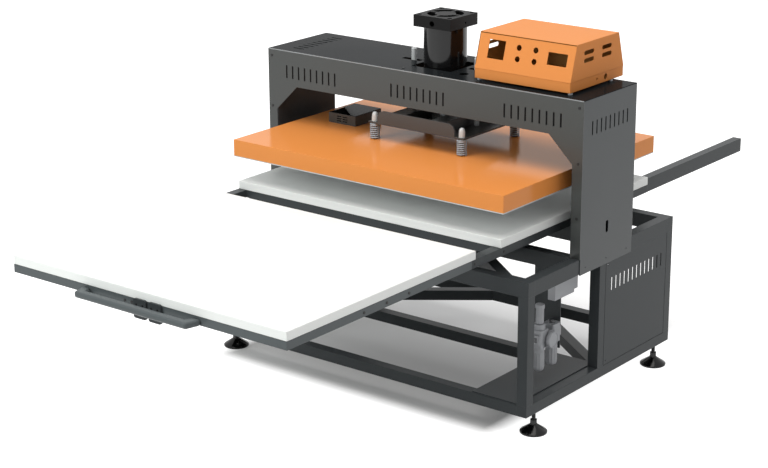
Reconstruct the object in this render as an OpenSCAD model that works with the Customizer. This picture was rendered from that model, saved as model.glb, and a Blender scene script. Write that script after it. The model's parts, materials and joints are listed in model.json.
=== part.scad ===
// Double-station air press: a hot plate in a portal, two tables that slide under it.
// Millimetres, Z up, X along the gantry, Y to the back. The floor is Z zero.
// The origin is the middle of the bounding box on the floor. All modules are drawn with
// Y zero at the middle of the gantry and moved by y_shift in place().

/* [Base frame] */
// Width over the gantry side sheets
gantry_w = 1400; // [1380:5:1420]
// Depth of the gantry
gantry_d = 342; // [338:1:346]
// Reach of the base in front of the gantry middle
base_front = 480; // [470:2:490]
// Reach of the base behind the gantry middle
base_rear = 466; // [460:2:476]
// Height of the top of the base
base_h = 559; // [553:1:565]
// Height of the underside of the base over the floor
base_clear = 76; // [72:1:81]
// Width of the base tubes
tube_w = 40; // [38:1:42]
// Height of the top rails of the base
top_rail_h = 54; // [50:1:56]
// Wall of the base tubes
tube_wall = 2.5; // [2:0.5:4]
// Y of the middle posts and of the bottom cross tube
mid_post_y = -12; // [-16:1:-8]
// Distance of the top brace from the side rail at the front rail
brace_front_in = 85.5; // [75.5:1:95.5]
// Distance of the top brace from the middle at the cross beam
brace_back_x = 228; // [218:1:238]
// Distance of the bottom brace from the middle at the rear rail
low_brace_x = 107; // [97:1:117]
// Y of the bottom brace at the side rail
low_brace_y = 13; // [10:1:20]
// Thickness of the end plates that close the tubes
end_plate_t = 2.5; // [2:0.5:4]
// Overlap used where a cut runs past a face
cut = 2; // [1:1:3]

/* [Tray under the air unit] */
// Width of the tray
tray_w = 187.5; // [167.5:5:207.5]
// Thickness of the tray
tray_t = 3; // [2:0.5:4]
// Gap from the tray to the outer faces of the tubes it rests on
tray_gap = 4; // [2:1:6]

/* [Side covers] */
// Sheet thickness of the side covers
cover_t = 2; // [1.5:0.5:3]
// Depth of the folded edge of a side cover
cover_lip = 14; // [10:1:18]
// Number of louvres in a side cover
cover_slots = 13; // [10:1:13]
// Distance between louvres
slot_pitch = 28.2; // [27:0.2:29]
// Width of a louvre
slot_w = 7; // [5:0.5:9]
// Y of the first louvre of a side cover
cover_slot_y = 50; // [46:1:54]
// Lower end of the cover louvres below the top of the base
cover_slot_drop = 170.5; // [166:0.5:175]
// Length of the louvres
slot_len = 49; // [44:1:54]

/* [Feet] */
// Distance of the front feet from the gantry middle
foot_front = 412; // [402:2:422]
// Distance of the rear feet from the gantry middle
foot_rear = 384; // [374:2:394]
// Distance of the feet from the middle of the side rail, outward
foot_out = 6; // [4:0.5:8]
// Radius of a foot pad
pad_r = 48; // [46:1:50]
// Height of the straight rim of a foot pad
pad_rim_h = 7; // [5:1:9]
// Height of a foot pad
pad_h = 32; // [30:1:34]
// Radius of the neck of a foot pad
pad_neck_r = 13; // [12:1:15]
// Radius of the threaded stem
stem_r = 7; // [6.5:0.5:8]
// How far the stem reaches into the rail
stem_in = 25; // [20:1:30]
// Clearance around a stem or stud
fit = 0.1; // [0.05:0.01:0.1]
// Height of a lock nut
nut_h = 16; // [14:1:18]
// Radius over the corners of a lock nut
nut_r = 13; // [12:0.5:14]

/* [Slide rails] */
// Distance of the outer face of a slide rail from the table edge
rail_in = 125; // [119:1:131]
// Width of a slide rail
rail_w = 36; // [34:1:38]
// Height of a slide rail
rail_h = 53.5; // [50:0.5:56]
// Reach of the slide rails behind the gantry middle
rail_rear = 1424; // [1414:2:1434]
// Thickness of the head of a rail end plug
plug_t = 4; // [3:0.5:6]
// Depth of a rail end plug inside the tube
plug_in = 20; // [15:1:25]
// Width of a guide strip
strip_w = 10; // [9:0.5:11]
// Height of a guide strip
strip_h = 12; // [11:0.5:13]
// Depth of the groove in a guide strip
strip_groove = 1.5; // [1:0.5:2]
// Height of a guide strip over the base
strip_up = 6; // [5:0.5:7]
// Distance of the guide strip from the rail ends
strip_end = 4; // [2:1:6]

/* [Gantry] */
// Height of the gantry beam
beam_h = 133; // [130:1:140]
// Sheet thickness of the gantry
sheet_t = 2.5; // [2:0.5:3]
// Gap from the flanges of the press plate to the beam, press open
beam_clear = 28; // [22:1:34]
// How far the side sheets reach below the top of the base
side_drop = 58; // [56:1:62]
// Width of a gusset along the beam
gusset_w = 98; // [90:1:106]
// Height of a gusset
gusset_h = 95; // [88:1:102]
// Louvres in each of the three front groups
front_slots = 9; // [7:1:9]
// Distance of the outer front louvre groups from the gantry side
group_in = 206; // [196:1:216]
// Lower end of the front louvres below the top of the gantry
front_slot_drop = 104.5; // [100:0.5:109]
// Distance between front louvres
front_pitch = 29; // [27:0.5:29.5]
// Lower end of the side louvres below the top of the gantry
side_slot_drop = 129; // [123:1:133]
// Height of the oblong hole in the side sheet over the base
side_hole_up = 58; // [50:1:66]
// Length of the oblong hole in the side sheet
side_hole_len = 44; // [40:1:48]
// Width of the oblong hole in the side sheet
side_hole_w = 16; // [14:1:18]
// Distance of the row of slots in the top sheet from the side
top_row_in = 100; // [90:1:110]
// Length of a slot of that row
top_row_len = 49; // [44:1:54]
// Width of the square hole around the cylinder
square_hole = 174; // [172:1:178]
// Length of the slot for the guide rod
rod_slot_len = 82; // [70:1:86]
// Width of the slot for the guide rod
rod_slot_w = 24; // [23:0.5:26]
// X of the cable hole in the top sheet
cable_x = 142; // [138:1:146]
// Y of the cable hole in the top sheet
cable_y = -83; // [-87:1:-79]
// Radius of the cable hole
cable_r = 17; // [15:0.5:18]
// Height of the portal beams inside the gantry
portal_beam_h = 112; // [108:1:114]
// Thickness of the plate that carries the cylinder
mount_t = 18; // [15:1:20]
// Half length of the plate that carries the cylinder
mount_x = 190; // [184:1:200]
// Radius of a screw head
head_r = 5; // [4:0.5:6]
// Height of a screw head
head_h = 1.5; // [1:0.5:2]
// Distance of the strip screws from the side of the gantry
strip_screw_in = 17; // [14:1:20]
// Depth of the first strip screw below the top sheet
strip_screw_top = 24; // [20:1:28]
// Distance between strip screws
strip_screw_pitch = 194; // [188:2:200]

/* [Cylinder] */
// Width of the square cylinder covers
head_w = 165; // [160:1:170]
// Height of the upper cylinder cover
head_cover_h = 43; // [40:1:46]
// Height of the cylinder over the gantry
cylinder_up = 187; // [179:1:191]
// Outer radius of the barrel
barrel_r = 79; // [77:0.5:80]
// Inner radius of the barrel
bore_r = 70; // [68:0.5:72]
// Height of the lower cylinder cover
foot_cover_h = 43; // [40:1:46]
// Radius of the round boss in the top cover
boss_r = 38; // [34:1:40]
// Outer radius of the ring pocket in the top cover
pocket_r = 66; // [62:1:68]
// Depth of the pocket in the top cover
pocket_h = 12; // [8:1:14]
// Width of the ribs across the pocket
rib_w = 12; // [10:1:14]
// Radius of the screw recesses in the cover corners
recess_r = 9; // [8:0.5:10]
// Distance of the screw recesses from the cover sides
recess_in = 16; // [15:0.5:18]
// Depth of the screw recesses
recess_h = 12; // [9:1:16]
// Radius of an air port
port_r = 10; // [9:0.5:11]
// Depth of an air port
port_depth = 20; // [16:1:24]
// Radius of the small side plug hole
plug_hole_r = 4; // [3:0.5:5]
// Thickness of the piston
piston_t = 30; // [26:1:34]
// Gap from the piston to the top cover, press open
piston_gap = 13; // [10:1:18]
// Radius of the piston rod
rod_r = 20; // [18:0.5:21]
// Running clearance of rods and piston
run = 0.05; // [0.03:0.01:0.08]

/* [Press plate] */
// Half width of the press plate
plate_x = 213; // [210:1:216]
// Half depth of the press plate
plate_y = 180; // [178:1:184]
// Thickness of the press plate
plate_t = 6; // [5:0.5:8]
// Height of the underside of the press plate over the heater, press open
plate_up = 60.5; // [58:0.5:62]
// Height of the flanges over the underside of the press plate
flange_h = 51; // [46:1:54]
// Half length of a flange at the bottom
flange_x = 172; // [168:1:174]
// How much shorter a flange is at each top corner
flange_round = 24; // [16:1:28]
// Distance of the springs from the middle, along X
spring_x = 195; // [194:0.5:196]
// Distance of the springs from the middle, along Y
spring_y = 165; // [164:0.5:166]
// X of the inner side of a press channel
channel_x = 58; // [56:1:60]
// Width of a press channel
channel_w = 62; // [58:1:64]
// Wall of a press channel
channel_wall = 4; // [3:0.5:5]
// Radius of the rod flange
rod_flange_r = 48; // [44:1:50]
// Height of the rod flange
rod_flange_h = 20; // [16:1:24]
// X of the guide rods
guide_x = 141; // [139:0.5:143]
// Radius of the guide rods
guide_r = 10; // [9:0.5:10.5]
// How far the guide rods stand over the gantry, press open
guide_up = 43; // [35:1:51]
// Wall of a guide bush
bush_wall = 6; // [5:0.5:8]
// How far the bush collar stands out
bush_collar = 4; // [3:0.5:5]
// Thickness of the bush collar
bush_collar_t = 3; // [2:0.5:4]

/* [Springs] */
// Middle radius of a spring
coil_r = 16.5; // [16:0.1:17]
// Radius of the spring wire
wire_r = 2.4; // [2.2:0.1:2.5]
// Number of curls of a spring
curls = 8; // [7:1:8]
// Travel of the heater against the springs
float_travel = 10; // [6:1:10]
// Radius of a stud
stud_r = 8; // [7:0.5:8.5]
// Base radius of a stud cap
cap_r = 11.5; // [11:0.5:12.5]
// Height of a stud cap
cap_h = 35; // [33:1:37]
// Radius at the top of a stud cap
cap_top_r = 8.5; // [8:0.5:9]

/* [Heater] */
// Gap from the heater cover to the inner side of a column
heat_gap = 62; // [56:1:70]
// Reach of the heater in front of the gantry middle
heat_front = 488; // [480:1:492]
// Reach of the heater behind the gantry middle
heat_rear = 478; // [470:1:482]
// Gap between the hot plate and the table, press open
press_gap = 89.5; // [84:0.5:95]
// Height of the heater cover
heat_h = 60.5; // [56:0.5:64]
// Sheet thickness of the heater cover
heat_t = 2; // [1.5:0.5:2.5]
// Gap between the cover skirt and the aluminium plate
platen_gap = 10; // [8:1:12]
// Thickness of the aluminium plate
platen_t = 20; // [18:1:22]
// How far the aluminium plate shows below the cover
platen_low = 6; // [5:0.5:8]
// Radius of a heating element
element_r = 5; // [4.5:0.5:5.5]
// Number of heating elements
elements = 4; // [3:1:4]
// Distance of the element bends from the plate edge
element_in = 90; // [80:2:100]
// Half distance between the legs of one element
element_half = 75; // [72:1:78]
// Junction box, distance of its left side from the middle
junction_x = 485; // [479:1:491]
// Junction box width
junction_w = 128; // [124:1:132]
// Junction box depth
junction_d = 156; // [152:1:160]
// Junction box height
junction_h = 38; // [35:1:41]
// Junction box sheet thickness
junction_t = 2; // [1.5:0.5:3]
// Width left open at the front of the junction box by the cut corner of its lid
junction_open = 108; // [100:1:114]
// Depth left open at the left of the junction box by the cut corner of its lid
junction_open_d = 90; // [82:1:98]
// Length of a slot in the front of the junction box
junction_slot = 21; // [18:1:24]
// Width of a slot in the front of the junction box
junction_slot_w = 3.5; // [3:0.5:4]

/* [Tables and sliding frame] */
// How much narrower a table is than the heater, on each side
table_in = 12; // [8:1:16]
// Length of a table
table_len = 946; // [942:1:950]
// Distance between the middles of the two tables
table_pitch = 1091; // [1088:1:1092]
// Y of the middle of the rear table
table_y = -7; // [-9:1:-5]
// Thickness of a table
table_t = 30; // [26:1:32]
// Height of the top of the tables over the base
table_up = 130.5; // [126.5:0.5:134.5]
// Height of the tubes of the sliding frame
frame_h = 28; // [26:1:30]
// Wall of the tubes of the sliding frame
frame_wall = 2; // [1.5:0.5:3]
// Distance between the bars under the middle of a table
bar_pitch = 113; // [109:1:117]
// How far the rear frame reaches in front of the rear table
rear_reach = 168; // [160:1:172]
// Length of a guide block
block_len = 60; // [56:1:64]
// Width of a guide block beside the strip
block_w = 16; // [14:1:18]
// Lip of a guide block below and above the strip
block_lip = 4; // [3:0.5:4.5]
// Leg length of a frame bracket
bracket_leg = 60; // [54:1:66]
// Thickness of a frame bracket
bracket_t = 4; // [3:0.5:5]
// Screw height over the underside of the sliding frame
side_screw_up = 13; // [11:1:15]

/* [Handle] */
// Half length of the grip bar
grip_x = 240; // [232:1:248]
// X of the middle of the handle
grip_mid = -9; // [-13:1:-5]
// How far the feet spread past the grip bar
grip_spread = 15; // [11:1:19]
// Reach of the handle in front of the sliding frame
grip_reach = 55; // [52:1:58]
// Height of the handle
grip_h = 22; // [20:1:24]
// Depth of the handle
grip_w = 30; // [28:1:32]
// Height of the middle of the handle over the underside of the sliding frame
grip_up = 10; // [8:1:12]
// Width of a front plate
front_plate_w = 54; // [50:1:56]
// Height of a front plate
front_plate_h = 64; // [60:1:66]
// Thickness of a front plate
front_plate_t = 8; // [6:1:10]
// Corner radius of a front plate
front_plate_r = 8; // [6:1:10]
// X of the left edge of the first front plate
front_plate_x = -34; // [-36:1:-32]
// Distance between the front plates
front_plate_pitch = 64; // [62:1:66]
// How far the front plates stand over the sliding frame
front_plate_over = 4; // [2:1:6]

/* [Control box] */
// Distance of the control box from the gantry side
box_in = 78; // [74:1:82]
// Width of the control box
box_w = 397; // [393:1:401]
// Y of the front of the hood at the seam
box_front = -135; // [-138:1:-132]
// Y of the back of the hood at the seam
box_back = 205; // [202:1:208]
// Slope of the hood, how far the top is set back
box_slope = 36; // [32:1:38]
// Height of the hood over the seam
hood_h = 125; // [121:1:129]
// Height of the tray below the seam
box_tray_h = 35; // [32:1:38]
// Height of the small feet
box_foot_h = 8; // [6:1:10]
// Radius of the small feet
box_foot_r = 8; // [6:1:9]
// Sheet thickness of the control box
box_t = 2; // [1.5:0.5:2]
// Step from the hood to the tray
box_step = 1; // [0.5:0.25:1]
// X of the left window from the box side
window_a_x = 44; // [40:1:48]
// Width of the left window
window_a_w = 68; // [64:1:72]
// Height of the left window
window_a_h = 64; // [60:1:68]
// X of the right window from the box side
window_b_x = 290; // [286:1:294]
// Width of the right window
window_b_w = 78; // [74:1:82]
// Height of the right window
window_b_h = 42; // [38:1:46]
// Height of the middle of the left window over the seam
window_a_up = 71; // [68:1:74]
// Height of the middle of the right window and of the holes over the seam
window_up = 69; // [66:1:72]
// X of the first column of round holes from the box side
hole_x = 169; // [165:1:173]
// Distance between the columns of round holes
hole_pitch_x = 69; // [66:1:72]
// Distance between the rows of round holes
hole_pitch_z = 38; // [35:1:41]
// Radius of a round hole
hole_r = 10; // [8:0.5:11]
// Length of a side slot of the hood
vent_len = 62; // [58:1:66]
// Width of a side slot of the hood
vent_w = 15; // [13:1:17]
// Distance of the side slots from the middle, along Y
vent_y = 57; // [54:1:60]
// Height of the lower side slots over the seam
vent_up = 62; // [59:1:65]
// Distance between the side slots, up
vent_pitch = 27; // [24:1:30]
// Y of the inlet hole in the tray
inlet_y = 90; // [86:1:94]
// Radius of the inlet hole in the tray
inlet_r = 10.5; // [9:0.5:12]
// Radius of the small hole in the tray
small_r = 4.5; // [3:0.5:5.5]

/* [Air unit] */
// Distance of the axis of the air unit from the side rail
unit_in = 45.5; // [44:0.5:47.5]
// Y of the filter axis
unit_y = -278; // [-280:0.5:-276]
// Distance between filter and lubricator
unit_pitch = 77; // [75:0.5:78]
// Width of a body of the air unit
unit_w = 46; // [44:1:48]
// Height of the underside of the air unit bodies over the tray
unit_up = 136; // [132:1:140]
// Height of the filter body
filter_h = 86; // [82:1:90]
// Height of the lubricator body
lubricator_h = 68; // [64:1:72]
// Radius of the round neck of the filter
neck_r = 20; // [18:0.5:21]
// Height of the round neck of the filter
neck_h = 20; // [17:1:23]
// Corner radius of the bodies
unit_round = 8; // [6:0.5:9]
// Step from a body to its port block
unit_step = 4; // [3:0.5:5]
// Reach of the inlet port block of the filter
port_reach = 30; // [28:1:32]
// Radius of a bowl of the filter
bowl_r = 19.5; // [18:0.5:21]
// Radius of a bowl of the lubricator
oil_bowl_r = 21.5; // [20:0.5:22]
// Height of the bowls
bowl_h = 88; // [84:1:92]
// Wall of the bowls
bowl_wall = 2.5; // [2:0.5:3]
// Radius of the regulator knob
knob_r = 17; // [15:0.5:18]
// Height of the regulator knob
knob_h = 71; // [68:1:74]
// Height of the grip ring of the knob
knob_ring_h = 15; // [12:1:18]
// Radius of the knob stem
knob_stem_r = 6; // [5:0.5:7]
// Length of the knob stem inside the body
knob_stem = 30; // [24:1:34]
// Radius of the gauge
gauge_r = 30; // [28:1:32]
// Thickness of the gauge
gauge_t = 16; // [14:1:18]
// Radius of the gauge stem
gauge_stem_r = 6; // [5:0.5:8]
// X of the gauge face from the axis of the air unit
gauge_out = 27; // [25:1:29]
// Distance of the gauge from the joint of the bodies, to the front
gauge_fore = 12; // [11:0.5:13]
// Height of the gauge over the underside of the bodies
gauge_up = 26; // [24:1:28]
// Side of the square window in the filter
sight_w = 20; // [17:1:22]
// Depth of the square window in the filter
sight_d = 3; // [2:0.5:4]
// Radius of the dome on the lubricator
dome_r = 9; // [8:0.5:10]
// Width of the hanging plate behind the air unit
post_w = 108; // [104:2:110]
// Thickness of that plate
post_t = 5; // [4:0.5:8]
// How far that plate reaches below the bodies of the air unit
post_drop = 35; // [30:1:40]
// Distance of the middle of that plate from the side rail
post_in = 86; // [84:1:88]
// Valve width
valve_w = 29; // [26:1:31]
// Y of the front of the valve
valve_front = -255; // [-257:1:-253]
// Valve length
valve_len = 121; // [117:1:125]
// Valve height
valve_h = 80; // [77:1:84]
// Thickness of the ear that bolts the valve to the rail
valve_ear_t = 6; // [5:0.5:8]
// Height of that ear
valve_ear_h = 30; // [26:1:34]
// How far the pilot end of the valve stands out
pilot_out = 22; // [18:1:26]
// Height of the pilot end over the underside of the valve
pilot_up = 11; // [9:1:13]

/* [Hidden] */
smooth = 48;
coarse = 24;
base_x = gantry_w / 2 - sheet_t;
base_in = base_x - tube_w;
rail_top_low = base_h - top_rail_h;
rail_low_top = base_clear + tube_w;
brace_front_x = base_in - brace_front_in;
tray_x = base_in - tray_w;
cover_slot_z = base_h - cover_slot_drop;
foot_x = base_x - tube_w / 2 + foot_out;
half_d = gantry_d / 2;
inner_d = half_d - sheet_t;
heat_x = gantry_w / 2 - tube_w - heat_gap;
table_x = heat_x - table_in;
table_top = base_h + table_up;
frame_z = table_top - table_t - frame_h;
rear_front_y = table_y - table_len / 2;
rear_back_y = table_y + table_len / 2;
frame_seam_y = rear_front_y - rear_reach;
front_front_y = rear_front_y - table_pitch;
y_front_end = front_front_y - grip_reach;
y_shift = -(rail_rear + y_front_end) / 2;
platen_z = table_top + press_gap;
heat_top = platen_z + platen_low + heat_h;
plate_z = heat_top + plate_up;
beam_low = plate_z + flange_h + beam_clear;
gantry_h = beam_low + beam_h;
side_low = base_h - side_drop;
skin = gantry_h - sheet_t;
group_pitch = gantry_w / 2 - group_in;
front_slot_z = gantry_h - front_slot_drop;
side_slot_z = gantry_h - side_slot_drop;
side_hole_z = base_h + side_hole_up;
top_row_x = gantry_w / 2 - top_row_in;
portal_beam_z = skin - portal_beam_h;
mount_z = portal_beam_z - mount_t;
rail_x = table_x - rail_in;
strip_x = rail_x - rail_w - strip_w;
strip_z = base_h + strip_up;
element_z = platen_z + platen_t + element_r;
wool_z = platen_z + platen_t + 2 * element_r;
cylinder_top = gantry_h + cylinder_up;
cylinder_low = mount_z + mount_t;
barrel_z = cylinder_low + foot_cover_h;
barrel_top = cylinder_top - head_cover_h;
piston_top = barrel_top - piston_gap;
guide_top = gantry_h + guide_up;
box_x = gantry_w / 2 - box_in - box_w;
seam_z = gantry_h + box_foot_h + box_tray_h;
unit_x = base_in - unit_in;
unit_low = rail_low_top + tray_t + unit_up;
post_x = base_in - post_in;
coil_low = heat_top;
coil_top = plate_z;
lead_len = 2 * wire_r;
coil_rise = coil_top - coil_low - 2 * wire_r;
coil_pitch = coil_rise / curls;
coil_gap = coil_pitch - 2 * wire_r;
squeezed_gap = coil_pitch * (coil_rise - float_travel) / coil_rise - 2 * wire_r;
echo(least_gap_of_spring_to_itself = coil_gap, when_squeezed = squeezed_gap);

steel = [0.31, 0.33, 0.34];
bright = [0.77, 0.78, 0.8];
orange = [0.93, 0.58, 0.27];
black = [0.1, 0.1, 0.1];
grey = [0.62, 0.62, 0.64];
white = [0.93, 0.94, 0.94];

// Small helpers

module place() {
  translate([0, y_shift, 0]) children();
}

module block(x0, x1, y0, y1, z0, z1) {
  translate([x0, y0, z0]) cube([x1 - x0, y1 - y0, z1 - z0]);
}

module both() {
  children();
  mirror([1, 0, 0]) children();
}

module tube_x(x0, x1, y0, y1, z0, z1, wall) {
  difference() {
    block(x0, x1, y0, y1, z0, z1);
    block(x0 - cut, x1 + cut, y0 + wall, y1 - wall, z0 + wall, z1 - wall);
  }
}

module tube_y(x0, x1, y0, y1, z0, z1, wall) {
  difference() {
    block(x0, x1, y0, y1, z0, z1);
    block(x0 + wall, x1 - wall, y0 - cut, y1 + cut, z0 + wall, z1 - wall);
  }
}

module tube_z(x0, x1, y0, y1, z0, z1, wall) {
  difference() {
    block(x0, x1, y0, y1, z0, z1);
    block(x0 + wall, x1 - wall, y0 + wall, y1 - wall, z0 - cut, z1 + cut);
  }
}

module rod_z(x, y, z0, z1, r) {
  translate([x, y, z0]) cylinder(r = r, h = z1 - z0, $fn = smooth);
}

module rod_x(x0, x1, y, z, r) {
  translate([x0, y, z]) rotate([0, 90, 0]) cylinder(r = r, h = x1 - x0, $fn = smooth);
}

module rod_y(x, y0, y1, z, r) {
  translate([x, y0, z]) rotate([-90, 0, 0]) cylinder(r = r, h = y1 - y0, $fn = smooth);
}

// A plate in the XY plane with rounded corners
module round_block(x0, x1, y0, y1, z0, z1, r) {
  block(x0 + r, x1 - r, y0, y1, z0, z1);
  block(x0, x1, y0 + r, y1 - r, z0, z1);
  for (x = [x0 + r, x1 - r], y = [y0 + r, y1 - r]) rod_z(x, y, z0, z1, r);
}

// Feet

module at_feet() {
  for (y = [-foot_front, foot_rear]) both() translate([foot_x, y, 0]) children();
}

module foot_pads() {
  color(black) place() at_feet() rotate_extrude($fn = smooth) polygon([
    [0, 0],
    [pad_r, 0],
    [pad_r, pad_rim_h],
    [pad_neck_r, pad_h - pad_rim_h],
    [pad_neck_r, pad_h],
    [0, pad_h]
  ]);
}

module foot_stems() {
  color(steel) place() at_feet() rod_z(0, 0, pad_h, base_clear + stem_in, stem_r);
}

module foot_nuts() {
  color(steel) place() at_feet() translate([0, 0, pad_h]) difference() {
    cylinder(r = nut_r, h = nut_h, $fn = 6);
    translate([0, 0, -cut]) cylinder(r = stem_r + fit, h = nut_h + 2 * cut, $fn = smooth);
  }
}

// Base frame

module base_posts() {
  color(steel) place() both() {
    for (y = [-base_front, base_rear - tube_w, mid_post_y - tube_w / 2])
      tube_z(base_in, base_x, y, y + tube_w, rail_low_top, rail_top_low, tube_wall);
  }
}

// The inner spaces of a welded frame join up, so that it can drain, and open at the tube ends
module base_top_rails() {
  rails = [-base_front, base_rear - tube_w];
  beams = [-half_d, half_d - tube_w];
  z0 = rail_top_low + tube_wall;
  z1 = base_h - tube_wall;
  color(steel) place() difference() {
    union() {
      for (y = rails)
        block(-base_x + end_plate_t, base_x - end_plate_t, y, y + tube_w, rail_top_low, base_h);
      both() block(base_in, base_x, -base_front + tube_w, base_rear - tube_w, rail_top_low, base_h);
      for (y = beams) block(-base_in, base_in, y, y + tube_w, rail_top_low, base_h);
    }
    for (y = rails) block(-base_x, base_x, y + tube_wall, y + tube_w - tube_wall, z0, z1);
    both() block(base_in + tube_wall, base_x - tube_wall, -base_front + tube_w / 2, base_rear - tube_w / 2,
                 z0, z1);
    for (y = beams)
      block(-base_in - tube_w / 2, base_in + tube_w / 2, y + tube_wall, y + tube_w - tube_wall, z0, z1);
  }
}

module base_bottom_rails() {
  bars = [-base_front, base_rear - tube_w, mid_post_y - tube_w / 2];
  z0 = base_clear + tube_wall;
  z1 = rail_low_top - tube_wall;
  color(steel) place() difference() {
    union() {
      both() block(base_in, base_x, -base_front + end_plate_t, base_rear - end_plate_t,
                   base_clear, rail_low_top);
      for (y = bars) block(-base_in, base_in, y, y + tube_w, base_clear, rail_low_top);
    }
    both() {
      block(base_in + tube_wall, base_x - tube_wall, -base_front, base_rear, z0, z1);
      for (y = [-foot_front, foot_rear])
        rod_z(foot_x, y, base_clear - cut, z0 + cut, stem_r + fit);
    }
    for (y = bars)
      block(-base_in - tube_w / 2, base_in + tube_w / 2, y + tube_wall, y + tube_w - tube_wall, z0, z1);
  }
}

module base_end_plates() {
  color(steel) place() both() {
    for (y = [-base_front, base_rear - tube_w])
      block(base_x - end_plate_t, base_x, y, y + tube_w, rail_top_low, base_h);
    for (y = [-base_front, base_rear - end_plate_t])
      block(base_in, base_x, y, y + end_plate_t, base_clear, rail_low_top);
  }
}

// Plan shape of a brace between two level lines, its half width measured along X
module top_brace_plan(width, over) {
  ya = -base_front + tube_w;
  yb = -half_d;
  run_y = yb - ya;
  run_x = brace_back_x - brace_front_x;
  half_x = width / 2 * norm([run_x, run_y]) / run_y;
  more = over * run_x / run_y;
  polygon([
    [brace_front_x - more - half_x, ya - over],
    [brace_front_x - more + half_x, ya - over],
    [brace_back_x + more + half_x, yb + over],
    [brace_back_x + more - half_x, yb + over]
  ]);
}

module low_brace_plan(width, over) {
  run_x = base_in - low_brace_x;
  run_y = base_rear - tube_w - low_brace_y;
  full = norm([run_x, run_y]);
  half_x = width / 2 * full / run_y;
  half_y = width / 2 * full / run_x;
  more_x = over * run_x / run_y;
  more_y = over * run_y / run_x;
  polygon([
    [low_brace_x - more_x - half_x, base_rear - tube_w + over],
    [base_in + over, low_brace_y - more_y - half_y],
    [base_in + over, low_brace_y - more_y + half_y],
    [low_brace_x - more_x + half_x, base_rear - tube_w + over]
  ]);
}

module base_braces() {
  color(steel) place() both() {
    difference() {
      translate([0, 0, rail_top_low]) linear_extrude(top_rail_h) top_brace_plan(tube_w, 0);
      translate([0, 0, rail_top_low + tube_wall])
        linear_extrude(top_rail_h - 2 * tube_wall) top_brace_plan(tube_w - 2 * tube_wall, cut);
    }
    difference() {
      translate([0, 0, base_clear]) linear_extrude(tube_w) low_brace_plan(tube_w, 0);
      translate([0, 0, base_clear + tube_wall])
        linear_extrude(tube_w - 2 * tube_wall) low_brace_plan(tube_w - 2 * tube_wall, cut);
      block(-base_x, base_x, mid_post_y - tube_w, mid_post_y + tube_w / 2,
            base_clear - cut, rail_low_top + cut);
    }
  }
}

module base_tray() {
  color(steel) place()
    block(tray_x, base_in, -base_front + tray_gap, mid_post_y + tube_w / 2 - tray_gap,
          rail_low_top, rail_low_top + tray_t);
}

module side_covers() {
  y0 = mid_post_y + tube_w / 2;
  y1 = base_rear - tube_w;
  color(steel) place() both() difference() {
    block(base_x - cover_lip, base_x, y0, y1, rail_low_top, rail_top_low);
    block(base_x - cover_lip - cut, base_x - cover_t, y0 + cover_t, y1 - cover_t,
          rail_low_top + cover_t, rail_top_low - cover_t);
    for (i = [0:cover_slots - 1])
      translate([0, cover_slot_y + i * slot_pitch, 0])
        block(base_x - cover_t - cut, base_x + cut, -slot_w / 2, slot_w / 2,
              cover_slot_z, cover_slot_z + slot_len);
    for (z = [rail_low_top + cover_lip, rail_top_low - cover_lip])
      rod_x(base_x - cover_t - cut, base_x + cut, y0 + cover_lip, z, head_r / 2);
  }
}

module service_post() {
  color(steel) place()
    block(post_x - post_w / 2, post_x + post_w / 2, -half_d, -half_d + post_t,
          unit_low - post_drop, rail_top_low);
}

// Slide rails

module slide_rails() {
  color(steel) place() both()
    tube_y(rail_x - rail_w, rail_x, -base_front + plug_t, rail_rear - plug_t,
           base_h, base_h + rail_h, tube_wall);
}

module rail_plugs() {
  color(black) place() both() for (end = [0, 1]) {
    y0 = end == 0 ? -base_front : rail_rear - plug_t;
    y1 = end == 0 ? -base_front + plug_t : rail_rear - plug_t - plug_in;
    block(rail_x - rail_w, rail_x, y0, y0 + plug_t, base_h, base_h + rail_h);
    block(rail_x - rail_w + tube_wall, rail_x - tube_wall, y1, y1 + plug_in,
          base_h + tube_wall, base_h + rail_h - tube_wall);
  }
}

module guide_strips() {
  y0 = -base_front + strip_end;
  color(bright) place() both() translate([strip_x, rail_rear - strip_end, strip_z])
    rotate([90, 0, 0]) linear_extrude(rail_rear - strip_end - y0) polygon([
      [0, 0],
      [strip_w, 0],
      [strip_w, strip_h],
      [0, strip_h],
      [0, strip_h * 2 / 3],
      [strip_groove, strip_h / 2],
      [0, strip_h / 3]
    ]);
}

// Gantry

module louvres_x(count, pitch, x, z) {
  for (i = [0:count - 1])
    translate([x + (i - (count - 1) / 2) * pitch, 0, 0])
      block(-slot_w / 2, slot_w / 2, -half_d - cut, -inner_d + cut, z, z + slot_len);
}

module gantry_face() {
  edge = gantry_w / 2;
  difference() {
    translate([0, -inner_d, 0]) rotate([90, 0, 0]) linear_extrude(sheet_t) polygon([
      [-edge, base_h],
      [-edge + tube_w, base_h],
      [-edge + tube_w, beam_low - gusset_h],
      [-edge + tube_w + gusset_w, beam_low],
      [edge - tube_w - gusset_w, beam_low],
      [edge - tube_w, beam_low - gusset_h],
      [edge - tube_w, base_h],
      [edge, base_h],
      [edge, skin],
      [-edge, skin]
    ]);
    for (g = [-1, 0, 1]) louvres_x(front_slots, front_pitch, g * group_pitch, front_slot_z);
  }
}

module gantry_front() {
  color(steel) place() gantry_face();
}

module gantry_back() {
  color(steel) place() mirror([0, 1, 0]) gantry_face();
}

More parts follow.
